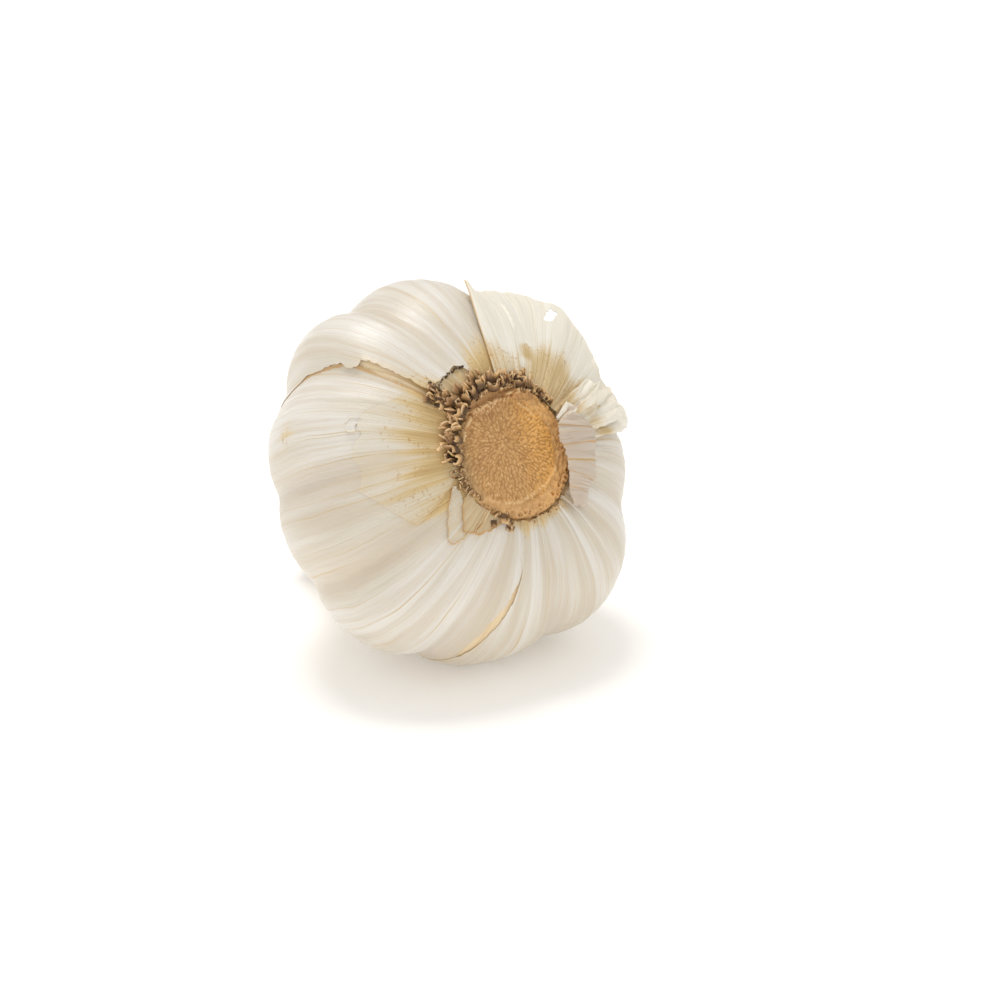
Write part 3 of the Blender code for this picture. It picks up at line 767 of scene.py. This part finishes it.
def plate_face(columns=440, rows=110):
    piece, u, v = grid_points(columns, rows)
    azimuth = 360 * u
    turn = np.radians(azimuth)
    rim = np.interp(azimuth, RIM_AZIMUTHS, RIM_RADII, period=360)
    radius = v * (rim + 0.45)
    spot = np.stack([radius * np.cos(turn), radius * np.sin(turn)], axis=-1)
    crust = 0.6 * lumps(spot, 0.45, 51) + 0.4 * lumps(spot, 1.0, 52)
    soft = lumps(spot, 3.5, 53)
    knobs, grains = lumps(spot, 0.7, 54), lumps(spot, 0.32, 55)
    disc = 1 - smooth_step(np.hypot(*(spot - np.array([-1.4, 0.5])).T) + 0.3 * crust, 8.3, 9.0)
    raised = pimples(spot) * disc
    crest = np.exp(-((from_line(spot, CREST) + 0.3 * knobs) / 0.55) ** 2)
    crest = crest * (0.85 + 0.7 * knobs + 1.0 * grains)
    gap = np.exp(-(from_line(spot / 1.09, CREST) / 0.35) ** 2) * (0.8 + 0.5 * crust)
    groove = np.exp(-((from_line(spot, LEFT_GROOVE) + 0.2 * crust) / 0.3) ** 2) * (0.7 + 0.7 * knobs)
    low = np.exp(-((from_line(spot, LOW_RIDGE) + 0.15 * crust) / 0.28) ** 2) * (1 + 0.8 * crust)
    short = np.exp(-(from_line(spot, SHORT_RIDGE) / 0.22) ** 2) * (1 + 0.6 * crust)
    height = (0.42 + 0.12 * soft + 0.13 * raised + 0.85 * crest - 0.45 * (gap + groove) + 0.16 * low
              + 0.14 * short)
    height += (0.2 * (1 - disc) + 0.03) * crust + (1 - disc) * (0.16 * knobs + 0.1 * grains)
    scars = np.zeros(len(spot))
    for pit_azimuth, pit_radius in root_pits():
        pit_turn = math.radians(pit_azimuth)
        middle = pit_radius * np.array([math.cos(pit_turn), math.sin(pit_turn)])
        away = np.hypot(*(spot - middle).T) + 0.07 * crust
        height += 0.24 * np.exp(-((away - 0.46) / 0.17) ** 2) - 0.35 * np.exp(-(away / 0.26) ** 2)
        scars = np.maximum(scars, 0.72 * np.exp(-(away / 0.26) ** 2))
    bed = smooth_step(radius, rim - 0.75, rim - 0.2) * root_arc(azimuth)
    height += bed * (0.5 + 0.55 * crust)
    height -= smooth_step(radius, rim - 0.5, rim + 0.45) * 1.9
    piece.data.vertices.foreach_set("co", over_plate(spot[:, 0], spot[:, 1], height).ravel())
    # Painted shade, in one mask: darker in the root bed, in the middles of the scars, in the gap above the
    # crest, in the left groove, in the crevices of the crest and on the rim where the plate falls away.
    edge_dirt = 0.5 * smooth_step(radius, rim - 0.3, rim + 0.1)
    crest_dirt = -1.2 * crest * np.minimum(grains, 0)
    dirt = bed + scars + 0.55 * gap + 0.5 * groove + crest_dirt + edge_dirt
    # `raised` also drives a painted highlight on the tops of the pimples, the crest and the ridges.
    keep(piece.data, raised=np.clip(raised + 0.8 * crest + low * 0.7 + short * 0.7, 0, 1.3),
         dirt=np.clip(dirt, 0, 1), disc=disc, spot=np.stack([spot[:, 0], spot[:, 1], height], axis=-1))
    close_seams(distance=0.000005)
    bpy.ops.object.shade_smooth()
    return piece


cork = Paint("root_cork", Specular_IOR_Level=0.25)
raised = cork.attribute("raised")
dirt = cork.attribute("dirt")
in_disc = cork.attribute("disc")
plate_spot = cork.attribute("spot", "Vector")
across_plate = cork.node("ShaderNodeSeparateXYZ", {}, [plate_spot])
blotch = cork.noise(plate_spot, (0.35, 0.35, 1), 3.0)
grit = cork.noise(plate_spot, (5, 5, 1), 3.0, 0.7)
mottle = cork.noise(plate_spot, (1.2, 1.2, 1), 3.0, 0.6)
warm = cork.between(across_plate + (blotch - 0.5) * 7, -2.0, 7.0)
up_plate = cork.node("ShaderNodeSeparateXYZ", {}, [plate_spot], 1)
at_top = cork.between(up_plate + (blotch - 0.5) * 3, 5.0, 9.0)
at_left = cork.between(0 - across_plate + (mottle - 0.5) * 3, 7.5, 11.0)
cork.feed("Base Color", cork.cover(
    (0.62, 0.35, 0.135),
    (warm, (0.92, 0.48, 0.125)),
    (cork.between(blotch, 0.4, 0.7) * 0.35, (0.42, 0.21, 0.08)),
    ((1 - in_disc) * (0.35 + mottle * 0.6), (0.74, 0.46, 0.21)),
    (at_top * 0.38, (0.40, 0.20, 0.085)),
    (at_left * 0.6, (0.43, 0.31, 0.16)),
    (cork.between(mottle, 0.5, 0.7) * 0.4, (0.36, 0.175, 0.065)),
    # painted highlight on the raised tops, and painted shade in the hollows between the pimples
    (cork.between(raised, 0.5, 1.0) * 0.65, (0.86, 0.62, 0.34)),
    ((1 - cork.between(raised, 0.0, 0.25)) * in_disc * 0.5, (0.30, 0.145, 0.05)),
    (cork.between(grit, 0.5, 0.75) * 0.35, (0.28, 0.14, 0.055)),
    # painted shade: near black where the shade mask is high, broken up by grit
    (cork.between(dirt + (grit - 0.5) * 0.9, 0.35, 0.85) * 0.85, (0.10, 0.05, 0.02))))
cork.feed("Roughness", 0.58 + (grit - 0.5) * 0.4)
cork.bump(grit * 0.6 + mottle * 0.4, 0.00014)
plate = plate_face()
plate.data.materials.append(cork.material)
dress(plate, "root_plate_face", "root_cork", "root_plate")

# %% [markdown]
# ## Dry root stubs
# The roots were trimmed, and their dry ends stand round the plate like a chewed fringe: strips of
# bark, curled, split and bent, with crumbs between them. Six stubs are modelled from a small grid that
# is curled by a formula and thickened, from nearly flat to nearly a tube. Each is copied round the rim
# by a seeded rule, with its own length, lean and twist. A dark strip under them and near-black crumbs
# paint the shade in the gaps.

# %% Model the stubs and a crumb
STUB_WALL = 0.19        # in shares of a stub's width


def stub_form(seed, curl):
    """A strip of dry bark one unit long and wide, curled across itself; it grows along Z from the origin."""
    random = np.random.default_rng(seed)
    stub, u, v = grid_points(6, 5)
    waves = random.uniform(0, 6, 5)
    turn = curl * (u - 0.5)
    radius = 0.5 / math.sin(min(curl / 2, math.pi / 2)) * (1 + 0.12 * np.sin(5 * v + waves[0]))
    torn_end = 0.1 * np.sin(6 * u + waves[1]) + 0.08 * np.sin(15 * u + waves[2])
    along = v * (1 + torn_end)
    taper = 1 - random.uniform(-0.25, 0.2) * v + 0.1 * np.sin(4 * v + waves[3])
    across = radius * np.sin(turn) * taper + 0.15 * random.uniform(-1, 1) * v ** 2
    depth = radius * (np.cos(turn) - math.cos(curl / 2)) * 0.8 + random.uniform(-0.25, 0.25) * v ** 2
    depth = depth + 0.06 * np.sin(9 * along + waves[4])
    stub.data.vertices.foreach_set("co", np.stack([across, depth, along], axis=-1).ravel())
    stub.data.update()
    wall = stub.modifiers.new("wall", "SOLIDIFY")
    wall.thickness = STUB_WALL
    bpy.ops.object.modifier_apply(modifier="wall")
    # the wall's other face gets a lower `along`, so it is painted darker, as shade
    keep(stub.data, along=np.concatenate([v, v - 0.3]))
    return stub


def crumb_form():
    deselect()
    bpy.ops.mesh.primitive_ico_sphere_add(subdivisions=2, radius=0.5)
    crumb = bpy.context.object
    random = np.random.default_rng(5)
    for vertex in crumb.data.vertices:
        vertex.co *= random.uniform(0.6, 1.25)
    keep(crumb.data, along=random.uniform(0.0, 1.0, len(crumb.data.vertices)))
    return crumb


STUB_CURLS = (0.3, 0.7, 1.1, 1.7, 4.2, 0.5)     # radians, from nearly flat to nearly a tube
CRUMB = len(STUB_CURLS)
stub_forms = [stub_form(seed, curl) for seed, curl in enumerate(STUB_CURLS)] + [crumb_form()]
print("a stub has", len(stub_forms[0].data.polygons), "faces and a crumb", len(stub_forms[-1].data.polygons))

# %% Copy the stubs round the plate
# a negative tone of crumbs makes them almost black, as painted shade in the gaps between the stubs
STUB_ROWS = (   # azimuths, radii, number, lean from the plate, length, width, tone of crumbs
    ((132, 174), (11.6, 12.2), 13, (0, 15), (1.7, 2.4), (1.0, 1.5), None),
    ((130, 173), (10.9, 11.5), 13, (10, 40), (1.4, 2.1), (1.1, 1.5), None),
    ((100, 132), (11.8, 12.8), 9, (0, 20), (1.7, 2.5), (1.0, 1.5), None),
    ((98, 134), (11.1, 11.9), 10, (10, 45), (1.3, 2.0), (1.0, 1.5), None),
    ((58, 100), (11.2, 12.3), 13, (0, 35), (1.1, 1.8), (1.0, 1.5), None),
    ((54, 100), (10.4, 11.2), 15, (10, 50), (0.8, 1.3), (0.9, 1.4), None),
    ((34, 58), (10.2, 11.2), 16, (15, 70), (0.7, 1.1), (0.5, 0.9), None),
    ((174, 200), (11.2, 12.2), 9, (20, 70), (0.6, 1.0), (0.6, 0.9), None),
    ((227, 246), (10.7, 12.2), 12, (0, 30), (0.7, 1.2), (0.4, 0.8), None),
    ((129, 138), (13.2, 17.2), 18, (0, 20), (0.8, 1.6), (0.6, 1.1), None),
    ((96, 174), (10.6, 12.6), 50, (0, 90), (0.3, 0.8), (0.3, 0.8), 0.3),
    ((50, 100), (10.2, 12.2), 60, (0, 90), (0.3, 1.0), (0.3, 1.0), 0.4),
    ((174, 205), (10.9, 12.0), 24, (0, 90), (0.3, 0.6), (0.3, 0.6), 0.3),
    ((52, 176), (11.0, 13.0), 90, (0, 90), (0.3, 0.9), (0.4, 0.9), -0.9),
    ((106, 128), (15.8, 16.3), 20, (20, 90), (0.25, 0.7), (0.15, 0.45), -0.9),
    ((127, 138), (12.8, 17.6), 30, (0, 90), (0.3, 0.6), (0.3, 0.7), -0.5),
    ((205, 330), (10.1, 11.2), 34, (0, 90), (0.2, 0.5), (0.2, 0.5), 0.2))


def stub_places():
    random = np.random.default_rng(7)
    for azimuths, radii, count, leans, lengths, widths, crumbs in STUB_ROWS:
        steps = (np.arange(count) + random.uniform(0.0, 1.0, count)) / count
        for step in steps:
            kind = random.integers(CRUMB)
            tone = random.uniform(0, 1)
            yield ((azimuths[0] + (azimuths[1] - azimuths[0]) * step, random.uniform(*radii),
                    math.radians(random.uniform(*leans)), random.uniform(*lengths), random.uniform(*widths),
                    random.uniform(-0.9, 0.9), random.uniform(0, 1)),
                   kind if crumbs is None else CRUMB, tone if crumbs is None else tone * 0.4 + crumbs)


def stub_matrix(azimuth, radius, lean, length, width, aside, twist):
    """Stands a stub on the rim, leaning outwards."""
    turn = math.radians(azimuth)
    out = Vector((math.cos(turn), math.sin(turn), 0))
    along = Vector((-math.sin(turn), math.cos(turn), 0))
    way = (out * math.cos(lean) + along * aside * 0.45 + Vector((0, 0, math.sin(lean)))).normalized()
    skin = over_bulb(np.array([azimuth]), np.array([radius - RIM_RADIUS]), 0.2 if radius < 15 else 0.4)[0]
    on_face = over_plate(np.array([out.x * radius]), np.array([out.y * radius]), np.array([0.7]))[0]
    foot = Vector(skin) if radius > 11.7 else Vector(on_face)
    axes = Matrix(TO_SCENE.T.tolist()).to_4x4()
    face = way.to_track_quat("Z", "Y").to_matrix().to_4x4()
    size = Matrix.Diagonal((width * MM, width * MM, length * MM, 1))
    return Matrix.Translation(foot) @ axes @ face @ Matrix.Rotation(twist * 2 * math.pi, 4, "Z") @ size


STUB_SMOOTH = 14        # degrees: sharper turns stay as edges
stubs = []
for place, kind, tone in stub_places():
    mesh = stub_forms[kind].data.copy()
    mesh.transform(stub_matrix(*place))
    keep(mesh, tone=np.full(len(mesh.vertices), tone))
    stub = bpy.data.objects.new("stub", mesh)
    bpy.context.collection.objects.link(stub)
    stubs.append(stub)
deselect()
for stub in stubs:
    stub.select_set(True)
bpy.context.view_layer.objects.active = stubs[0]
bpy.ops.object.join()
root_stubs = bpy.context.object
bpy.ops.object.shade_smooth_by_angle(angle=math.radians(STUB_SMOOTH))
for form in stub_forms:
    bpy.data.objects.remove(form)

husk = Paint("dry_roots", Specular_IOR_Level=0.4)
along_stub, tone = husk.attribute("along"), husk.attribute("tone")
place = husk.node("ShaderNodeTexCoord", {}, {}, "Object")
crust = husk.noise(place, (1800, 1800, 1800), 3.0, 0.7)
patch = husk.noise(place, (700, 700, 700), 2.0, 0.6)
husk.feed("Base Color", husk.cover(
    (0.34, 0.17, 0.065),
    (husk.between(tone + (patch - 0.5) * 0.8, 0.1, 0.9), (0.72, 0.44, 0.185)),
    # painted highlight towards each stub's tip, and painted shade at its foot
    (husk.between(along_stub + (crust - 0.5) * 0.6, 0.5, 1.0) * 0.8, (0.93, 0.70, 0.42)),
    ((1 - husk.between(along_stub, 0.05, 0.65)) * 0.9, (0.06, 0.028, 0.009)),
    (husk.between(crust, 0.52, 0.68) * 0.6, (0.15, 0.07, 0.022)),
    # painted shade: a negative tone makes crumbs and the strip under the stubs almost black
    (husk.between(0 - tone, 0.0, 0.4) * 0.9, (0.045, 0.021, 0.007))))
husk.feed("Roughness", 0.5 + (crust - 0.5) * 0.4)
husk.bump(crust, 0.0001)
root_stubs.data.materials.clear()
root_stubs.data.materials.append(husk.material)
dress(root_stubs, "root_stubs", "root_cork", "root_plate")


def shade_strip_place(u, v):
    """A dark lumpy strip under the stubs: painted shade in the gaps between them."""
    azimuth = 52 + 124 * u
    reach = -0.2 + 2.0 * v + 0.4 * edge_wander(azimuth, 150, 201) * v
    return azimuth, reach, 0.2 + 0.3 * wander(azimuth, 200, reach, 0.7, 202) * np.sin(np.pi * v)


root_shade_strip = laid_sheet(170, 12, shade_strip_place, THIN_WALL, husk.material)
shade_strip_points = np.ones(len(root_shade_strip.data.vertices))
keep(root_shade_strip.data, tone=-0.3 * shade_strip_points, along=0.2 * shade_strip_points)
dress(root_shade_strip, "root_shade_strip", "root_cork", "root_plate")

# %% [markdown]
# ## The torn collar
# Off the upper right of the bulb an outer skin has torn free and flares outwards. It is one sheet
# from its foot by the roots to a free edge that stands several millimetres off the bulb, so its lift
# grows with the distance from the foot. It has a small hole near its top, a greyer sheet lies under
# its right side, and crumpled tatters hang on at its lower end.

# %% Collar
COLLAR_EDGE = ((80.8, 18.6, 1.5), (79, 19.4, 1.7), (75.5, 20.9, 1.2), (70, 21.8, 0.8), (64, 22.1, 0.7),
               (57, 22.3, 1.0), (51, 21.9, 2.0), (45, 21.9, 3.6), (39, 21.4, 4.2), (34, 19.4, 3.2),
               (29, 17.8, 2.1), (24, 16.8, 1.3), (19, 16.0, 0.8), (14, 15.6, 0.7), (9, 15.2, 1.0),
               (4, 14.2, 1.2))
UNDER_EDGE = ((40.5, 20.3, 3.3), (38, 21.7, 3.9), (36, 22, 3.9), (34, 22, 3.3), (29, 21.9, 2.1),
              (24, 21.6, 1.5), (19, 21.6, 0.9), (14, 21.1, 1.0), (10, 20.3, 1.9), (6, 19.0, 2.7),
              (3, 17.4, 2.0))
COLLAR_LIFT = 3.9               # reach where the sheet leaves the bulb


def along_line(line, u):
    """Points along a line of given points, for shares u from 0 to 1."""
    line = np.array(line)
    pick = u * (len(line) - 1)
    return np.stack([np.interp(pick, np.arange(len(line)), line[:, k]) for k in range(3)], axis=-1)


def collar_sheet(foot, edge_line, sides, waves, seed, base=0.5):
    """A sheet from the roots to a free edge given as azimuth, reach and lift."""
    def place(u, v):
        edge_azimuth, edge_reach, edge_lift = along_line(edge_line, u).T
        edge_reach = edge_reach + 0.4 * edge_wander(u * 300, 46, seed)
        edge_reach = edge_reach + 0.16 * edge_wander(u * 300, 170, seed + 1)
        azimuth = sides[0] + (sides[1] - sides[0]) * u
        azimuth = azimuth + (edge_azimuth - azimuth) * v
        low = foot - 1.5 * smooth_step(u, 0.38, 0.55)
        reach = low + (edge_reach - low) * v
        free = np.clip((reach - COLLAR_LIFT) / (edge_reach - COLLAR_LIFT), 0, 1)
        broad, fine = wander(azimuth, 40, reach, 12, seed + 2), wander(azimuth, 110, reach, 9, seed + 3)
        ripple = waves * free * (0.6 * broad + 0.3 * fine)
        crease = 0.35 * np.exp(-((azimuth - 66 - 0.15 * (reach - 12)) / 0.5) ** 2)
        crease = crease * smooth_step(reach, 10, 12) * (1 - smooth_step(reach, 16, 19))
        curl = 0.5 * smooth_step(v, 0.93, 1.0) * edge_wander(azimuth, 30, seed + 4)
        return azimuth, reach, base + edge_lift * free ** 1.8 + ripple + crease + curl
    return place


def collar_stain(azimuth, reach):
    """Ochre near the roots, widest at the middle, and one olive patch."""
    warm = np.interp(azimuth, [0, 8, 15, 25, 40, 52, 58, 66, 74, 90], [7, 8, 9, 12, 13.5, 12, 10, 7, 9, 12])
    warm = warm + 1.6 * edge_wander(azimuth, 90, 66)
    strong = np.interp(azimuth, [0, 15, 28, 50, 58, 66, 90], [0.35, 0.5, 0.95, 1.0, 0.8, 0.6, 0.75])
    patch = np.exp(-((azimuth - 62) / 4.6) ** 4 - ((reach - 6.8) / 1.6) ** 4)
    return np.clip((1 - smooth_step(reach, 0.45 * warm, warm)) * strong + patch * 0.95, 0, 1.3)


def collar_tear(azimuth, reach):
    """The orange-brown line down the collar's left side."""
    side = 89 + (80.8 - 89) * (reach - 1.3) / 17.3
    return np.exp(-((side - azimuth) / 0.55) ** 2) * 0.9


def collar_hole(azimuth, reach):
    """A torn window near the free edge."""
    middle = 47.2 + 0.9 * (17.6 - reach)
    ragged = 0.4 * wander(azimuth * 6, 90, reach, 0.7, 67)
    return (abs(azimuth - middle) < 1.3 + 0.6 * ragged) & (abs(reach - 17.2) < 1.6 + 0.5 * ragged)


collar = laid_sheet(210, 130, collar_sheet(1.3, COLLAR_EDGE, (89, 6), 0.7, 61), THIN_WALL, torn_finish,
                    collar_stain, collar_tear, hole=collar_hole)
dress(collar, "torn_collar", "torn_skin", "skin_collar")
under_collar = laid_sheet(120, 110, collar_sheet(1.0, UNDER_EDGE, (40, 6), 0.5, 161, 0.2), THIN_WALL,
                          grey_finish, lambda azimuth, reach: 0.5 * (1 - smooth_step(reach, 8, 12)))
dress(under_collar, "under_collar", "torn_skin", "skin_collar")

# %% Tatters at the collar's lower end
def tatter(name, first, last, foot, end, lift, seed, stain):
    """A crumpled scrap that stands off the bulb: a few broad folds with sharp backs."""
    def place(u, v):
        narrow = 1 - 0.35 * v ** 2
        azimuth = first + (last - first) * (0.5 + (u - 0.5) * narrow)
        azimuth = azimuth + 0.5 * edge_wander(v * 300, 12, seed)
        reach = foot + (end - foot) * v + 1.2 * edge_wander(u * 300, 7, seed + 1) * v
        folds = 0.9 * abs(np.sin(3.2 * u + 1.6 * v + seed)) + 0.5 * wander(u * 360, 3, v * 10, 6.0, seed + 3)
        return azimuth, reach, lift[0] + (lift[1] - lift[0]) * v ** 1.3 + folds * (0.3 + 0.7 * v)
    scrap = laid_sheet(60, 56, place, THIN_WALL, torn_finish, stain)
    dress(scrap, name, "torn_skin", "skin_collar")


tatter("tatter_1", 28, 13, 1.0, 9.0, (0.8, 2.4), 171,
       lambda azimuth, reach: 0.9 * (1 - smooth_step(reach, 2, 7)))
tatter("tatter_2", 18, 0, 3.0, 14.0, (0.7, 2.2), 183,
       lambda azimuth, reach: 0.7 * np.exp(-((reach - 6) / 3) ** 2))
tatter("tatter_3", 12, -4, 5.0, 18.5, (0.5, 2.2), 190,
       lambda azimuth, reach: 0.85 * np.exp(-((reach - 8) / 2.4) ** 2))

# %% [markdown]
# ## The folded flap
# At the right of the plate a scrap of greyish skin is folded in over its edge. It rises from a sharp
# crease, crosses to a free edge over the plate, and its upper corner curls up and shows its pale
# underside.

# %% Fold
FOLD_CREASE = ((12.8, 3.5, 0.5), (14.5, 2.1, 0.1), (15.6, 0.8, -0.2), (16.0, -0.4, -0.3), (15.7, -1.5, -0.4),
               (14.5, -4.6, -0.4), (13.4, -7.5, -0.4), (11.6, -8.3, -0.1), (10.6, -9.3, 0.1),
               (9.5, -11.3, 0.4))
FOLD_VEINS = ((0.13, 0.45), (0.2, 0.45), (0.26, 0.7), (0.33, 0.4), (0.39, 0.35), (0.46, 0.8),
              (0.53, 0.35), (0.6, 0.4), (0.66, 0.35), (0.71, 0.6), (0.76, 0.35), (0.81, 0.4), (0.88, 0.6))
VEIN_WIDTH = 0.008      # in shares of the flap's length
CORNER_LOW = ((7.6, 3.1, 2.6), (9.2, 2.9, 2.7), (11.5, 3.4, 2.4))
CORNER_HIGH = ((7.6, 3.5, 2.7), (9.7, 5.5, 3.7), (11.6, 4.2, 3.4))
FOLD_EDGE = ((8.9, 4.7, 3.0), (8.0, 3.7, 2.3), (7.5, 2.2, 2.0), (7.1, 0.2, 1.8), (7.4, -1.5, 1.8),
             (7.3, -3.2, 1.8), (7.1, -5.1, 1.8), (6.5, -6.7, 1.8), (6.0, -8.3, 1.7), (6.2, -10.7, 1.6))


def fold_flap(columns=130, rows=80):
    """A sheet from its crease on the bulb to its free edge, as right, up and height over the plate."""
    piece, u, v = grid_points(columns, rows)
    u = 1 - u
    crease, edge = along_line(FOLD_CREASE, u), along_line(FOLD_EDGE, u)
    frayed = v * (1 + 0.02 * edge_wander(u * 300, 50, 71) + 0.015 * edge_wander(u * 300, 160, 73))
    local = crease + (edge - crease) * frayed[:, None]
    curl = smooth_step(v, 0.68, 1.0) * (1 - smooth_step(u, 0.05, 0.2))
    ribs = 0.2 * wander(u * 360, 20, v * 20, 30, 72) + 0.14 * wander(u * 360, 48, v * 20, 30, 75)
    slanted = u + 0.05 * v
    local[:, 0] += 2.4 * curl ** 2
    local[:, 1] += 0.15 * edge_wander(v * 300, 50, 74) * (abs(2 * u - 1) ** 14)
    local[:, 2] += 0.9 * smooth_step(v, 0.0, 0.05) + 0.5 * np.sin(math.pi * v) + ribs + 1.2 * curl
    piece.data.vertices.foreach_set("co", in_scene(local).ravel())
    veins = sum(1.5 * strength * np.exp(-((slanted - middle) / VEIN_WIDTH) ** 2)
                for middle, strength in FOLD_VEINS)
    foot_stain = 0.5 * (1 - smooth_step(v, 0.0, 0.15)) * (1 - smooth_step(u, 0.0, 0.2))
    keep(piece.data, grain=np.stack([u * 17, v * 9, v * 0 + 4], axis=-1), stain=foot_stain, torn=veins,
         valley=0 * u)
    piece.data.update()
    thicken(piece, SKIN_WALL, fold_finish)
    return piece


def flap_corner(columns=30, rows=20):
    """The flap's upper corner, curled up so that its pale underside shows."""
    piece, u, v = grid_points(columns, rows)
    low, high = along_line(CORNER_LOW, u), along_line(CORNER_HIGH, u)
    local = low + (high - low) * v[:, None]
    local[:, 2] += 0.5 * np.sin(math.pi * v) + 0.1 * wander(u * 360, 9, v * 10, 4, 77)
    piece.data.vertices.foreach_set("co", in_scene(local).ravel())
    keep(piece.data, grain=np.stack([v * 4, u * 5, v * 0 + 9], axis=-1), stain=0 * u, torn=0 * u,
         valley=0 * u)
    piece.data.update()
    thicken(piece, THIN_WALL, torn_finish)
    return piece


flap = fold_flap()
dress(flap, "folded_flap", "folded_skin", "skin_fold")
dress(flap_corner(), "flap_corner", "folded_skin", "skin_fold")

# %% [markdown]
# ## Layers that still stick to the bulb
# Bits of older skins cling round the roots: a yellowish layer at the left with a torn edge, a fibrous
# one above the upper stubs, a pale and two tan scraps under the plate, and a small scale on the left
# clove. Each is a small sheet between two edges that are given as reach by azimuth.

# %% Stuck layers
def stuck_layer(name, first, last, foot, end, finish, lift, stain, size, seed, curl=0.2, fray=0.25, torn=None,
                slant=((0, 0), (9, 0)), rim=0.0):
    """A scrap between azimuths first and last, from the reach foot to end, both given by azimuth.

    Its last side can slant: azimuth added by reach. `rim` is how brown its free edge is."""
    def place(u, v):
        azimuth = first + (last - first) * u
        low, high = (np.interp(azimuth, *zip(*line)) for line in (foot, end))
        low, high = (edge + fray * (edge_wander(azimuth, 130, seed + side)
                                    + 0.6 * edge_wander(azimuth, 330, seed + 2 + side))
                     for side, edge in ((0, low), (1, high)))
        reach = low + (high - low) * v
        azimuth = azimuth + np.interp(reach, *zip(*slant)) * u ** 3
        side_fray = np.degrees(fray * edge_wander(reach * 8, 60, seed + 4) / (RIM_RADIUS + reach))
        azimuth = azimuth + side_fray * (abs(2 * u - 1) ** 12)
        edge = np.minimum(np.minimum(u, 1 - u) * size[0], (1 - v) * size[1])
        dents = 0.08 * wander(azimuth, 60, reach, 3, seed + 5)
        return azimuth, reach, lift + curl * np.exp(-edge * 9) + dents

    def dry_rim(azimuth, reach):
        return rim * np.exp(-((np.interp(azimuth, *zip(*end)) - reach) / 0.22) ** 2)

    sheet = laid_sheet(*size, place, SCRAP_WALL, finish, stain, torn or dry_rim)
    dress(sheet, name, "papery_skin", "bulb")


LEFT_EDGE = [(138, 10), (142, 11), (146, 13.5), (152, 16), (158, 15.5), (164, 17.6), (171, 17.2), (177, 17.5),
             (184, 14.6), (189, 13.4), (193, 12.2), (197, 11.6), (199, 10.8)]
LEFT_SLANT = ((0.8, -15), (2.0, -13), (3.1, -9.5), (5.5, -6), (8.0, -3), (11.0, 0))


def layer_rim(azimuth, reach):
    """A faint line along the layer's lower edges."""
    edge = np.interp(azimuth, *zip(*LEFT_EDGE))
    side = 199 + np.interp(reach, *zip(*LEFT_SLANT))
    low = smooth_step(azimuth, 172, 182)
    return np.maximum(0.5 * low * np.exp(-((edge - reach) / 0.3) ** 2),
                      0.6 * np.exp(-((side - azimuth) / 0.8) ** 2))


def near_stain(azimuth, reach):
    """Stronger by the roots than on the skin below."""
    pale_edge = 1 - 0.55 * smooth_step(azimuth - np.interp(reach, *zip(*LEFT_SLANT)), 178, 196)
    patchy = 1.05 + 0.4 * wander(azimuth, 80, reach, 8, 84)
    return root_stain(azimuth, reach) * patchy * pale_edge + 0.18 * smooth_step(azimuth, 162, 182)


def fibre_stain(azimuth, reach):
    return 0.93 - 0.05 * reach


stuck_layer("left_layer", 139, 199, [(139, 1.0), (199, 0.8)], LEFT_EDGE,
            layer_finish, 0.13, near_stain, (150, 90), 81, curl=0.05, torn=layer_rim, slant=LEFT_SLANT)
stuck_layer("fibrous_layer", 105, 128, [(105, 0.9), (128, 0.9)], [(105, 7.2), (110, 7.4), (128, 6.6)],
            layer_finish, 0.1, fibre_stain, (80, 40), 131, curl=0.0)
stuck_layer("pale_scrap", 191, 217, [(191, 2.4), (196, 2.2), (203, 2.8), (210, 4.0), (217, 5.2)],
            [(191, 3.2), (195, 4.2), (199, 5.6), (203, 6.4), (206, 7.2), (209, 7.5), (212, 8.4),
             (215, 8.2), (217, 6.4)],
            layer_finish, 0.14, lambda azimuth, reach: 0.28 + 0 * reach, (64, 32), 101, fray=0.15, rim=0.8,
            curl=0.3)
stuck_layer("tan_scrap", 201, 222, [(201, 1.6), (205, 1.0), (222, 0.8)],
            [(201, 2.2), (204, 3.4), (209, 4.3), (212, 4.7), (215, 5.7), (218, 5.1), (220, 4.9), (222, 2.6)],
            scrap_finish, 0.22, None, (60, 36), 91, curl=0.3, fray=0.12, rim=0.9)
stuck_layer("low_scrap", 220, 236, [(220, 1.0), (236, 0.6)],
            [(220, 4.6), (223, 4.7), (226, 3.7), (229, 3.4), (232, 2.3), (236, 1.2)],
            scrap_finish, 0.2, None, (50, 30), 141, curl=0.3, fray=0.15, rim=0.9)
stuck_layer("left_scale", 151.5, 156.5, [(151.5, 15.6), (156.5, 16.2)],
            [(151.5, 17.0), (154, 18.0), (156.5, 17.6)], grey_finish, 0.14, None, (30, 26), 111, curl=0.22)

# %% [markdown]
# ## The neck
# The stalk was cut a few millimetres above the cloves. Its end shows the wrapped leaf bases as
# nested, wavy rings of dry skin, a little shorter towards the middle.

# %% Nested skins at the neck's end
RING_LENGTH = 9.0


def neck_ring(name, inset, short, seed):
    def place(u, v):
        azimuth = 360 * u
        frayed = 0.9 * edge_wander(azimuth, 26, seed) + 0.5 * edge_wander(azimuth, 80, seed + 1)
        top, foot = NECK_END - short + frayed, NECK_END - RING_LENGTH
        reach = foot + (top - foot) * v
        return azimuth, reach, -inset + 0.35 * wander(azimuth, 16, reach, 8, seed + 2)
    ring = laid_sheet(130, 16, place, SKIN_WALL, torn_finish if seed % 2 else layer_finish,
                      lambda azimuth, reach: smooth_step(reach, NECK_END - 4, NECK_END) * 0.7, wrapped=True)
    dress(ring, name, "papery_skin", "bulb")


for number, (inset, short) in enumerate(((0.9, 0.0), (1.7, 0.8), (2.6, 1.2), (3.5, 2.0), (4.5, 2.4))):
    neck_ring(f"neck_ring_{number + 1}", inset, short, 121 + number * 5)
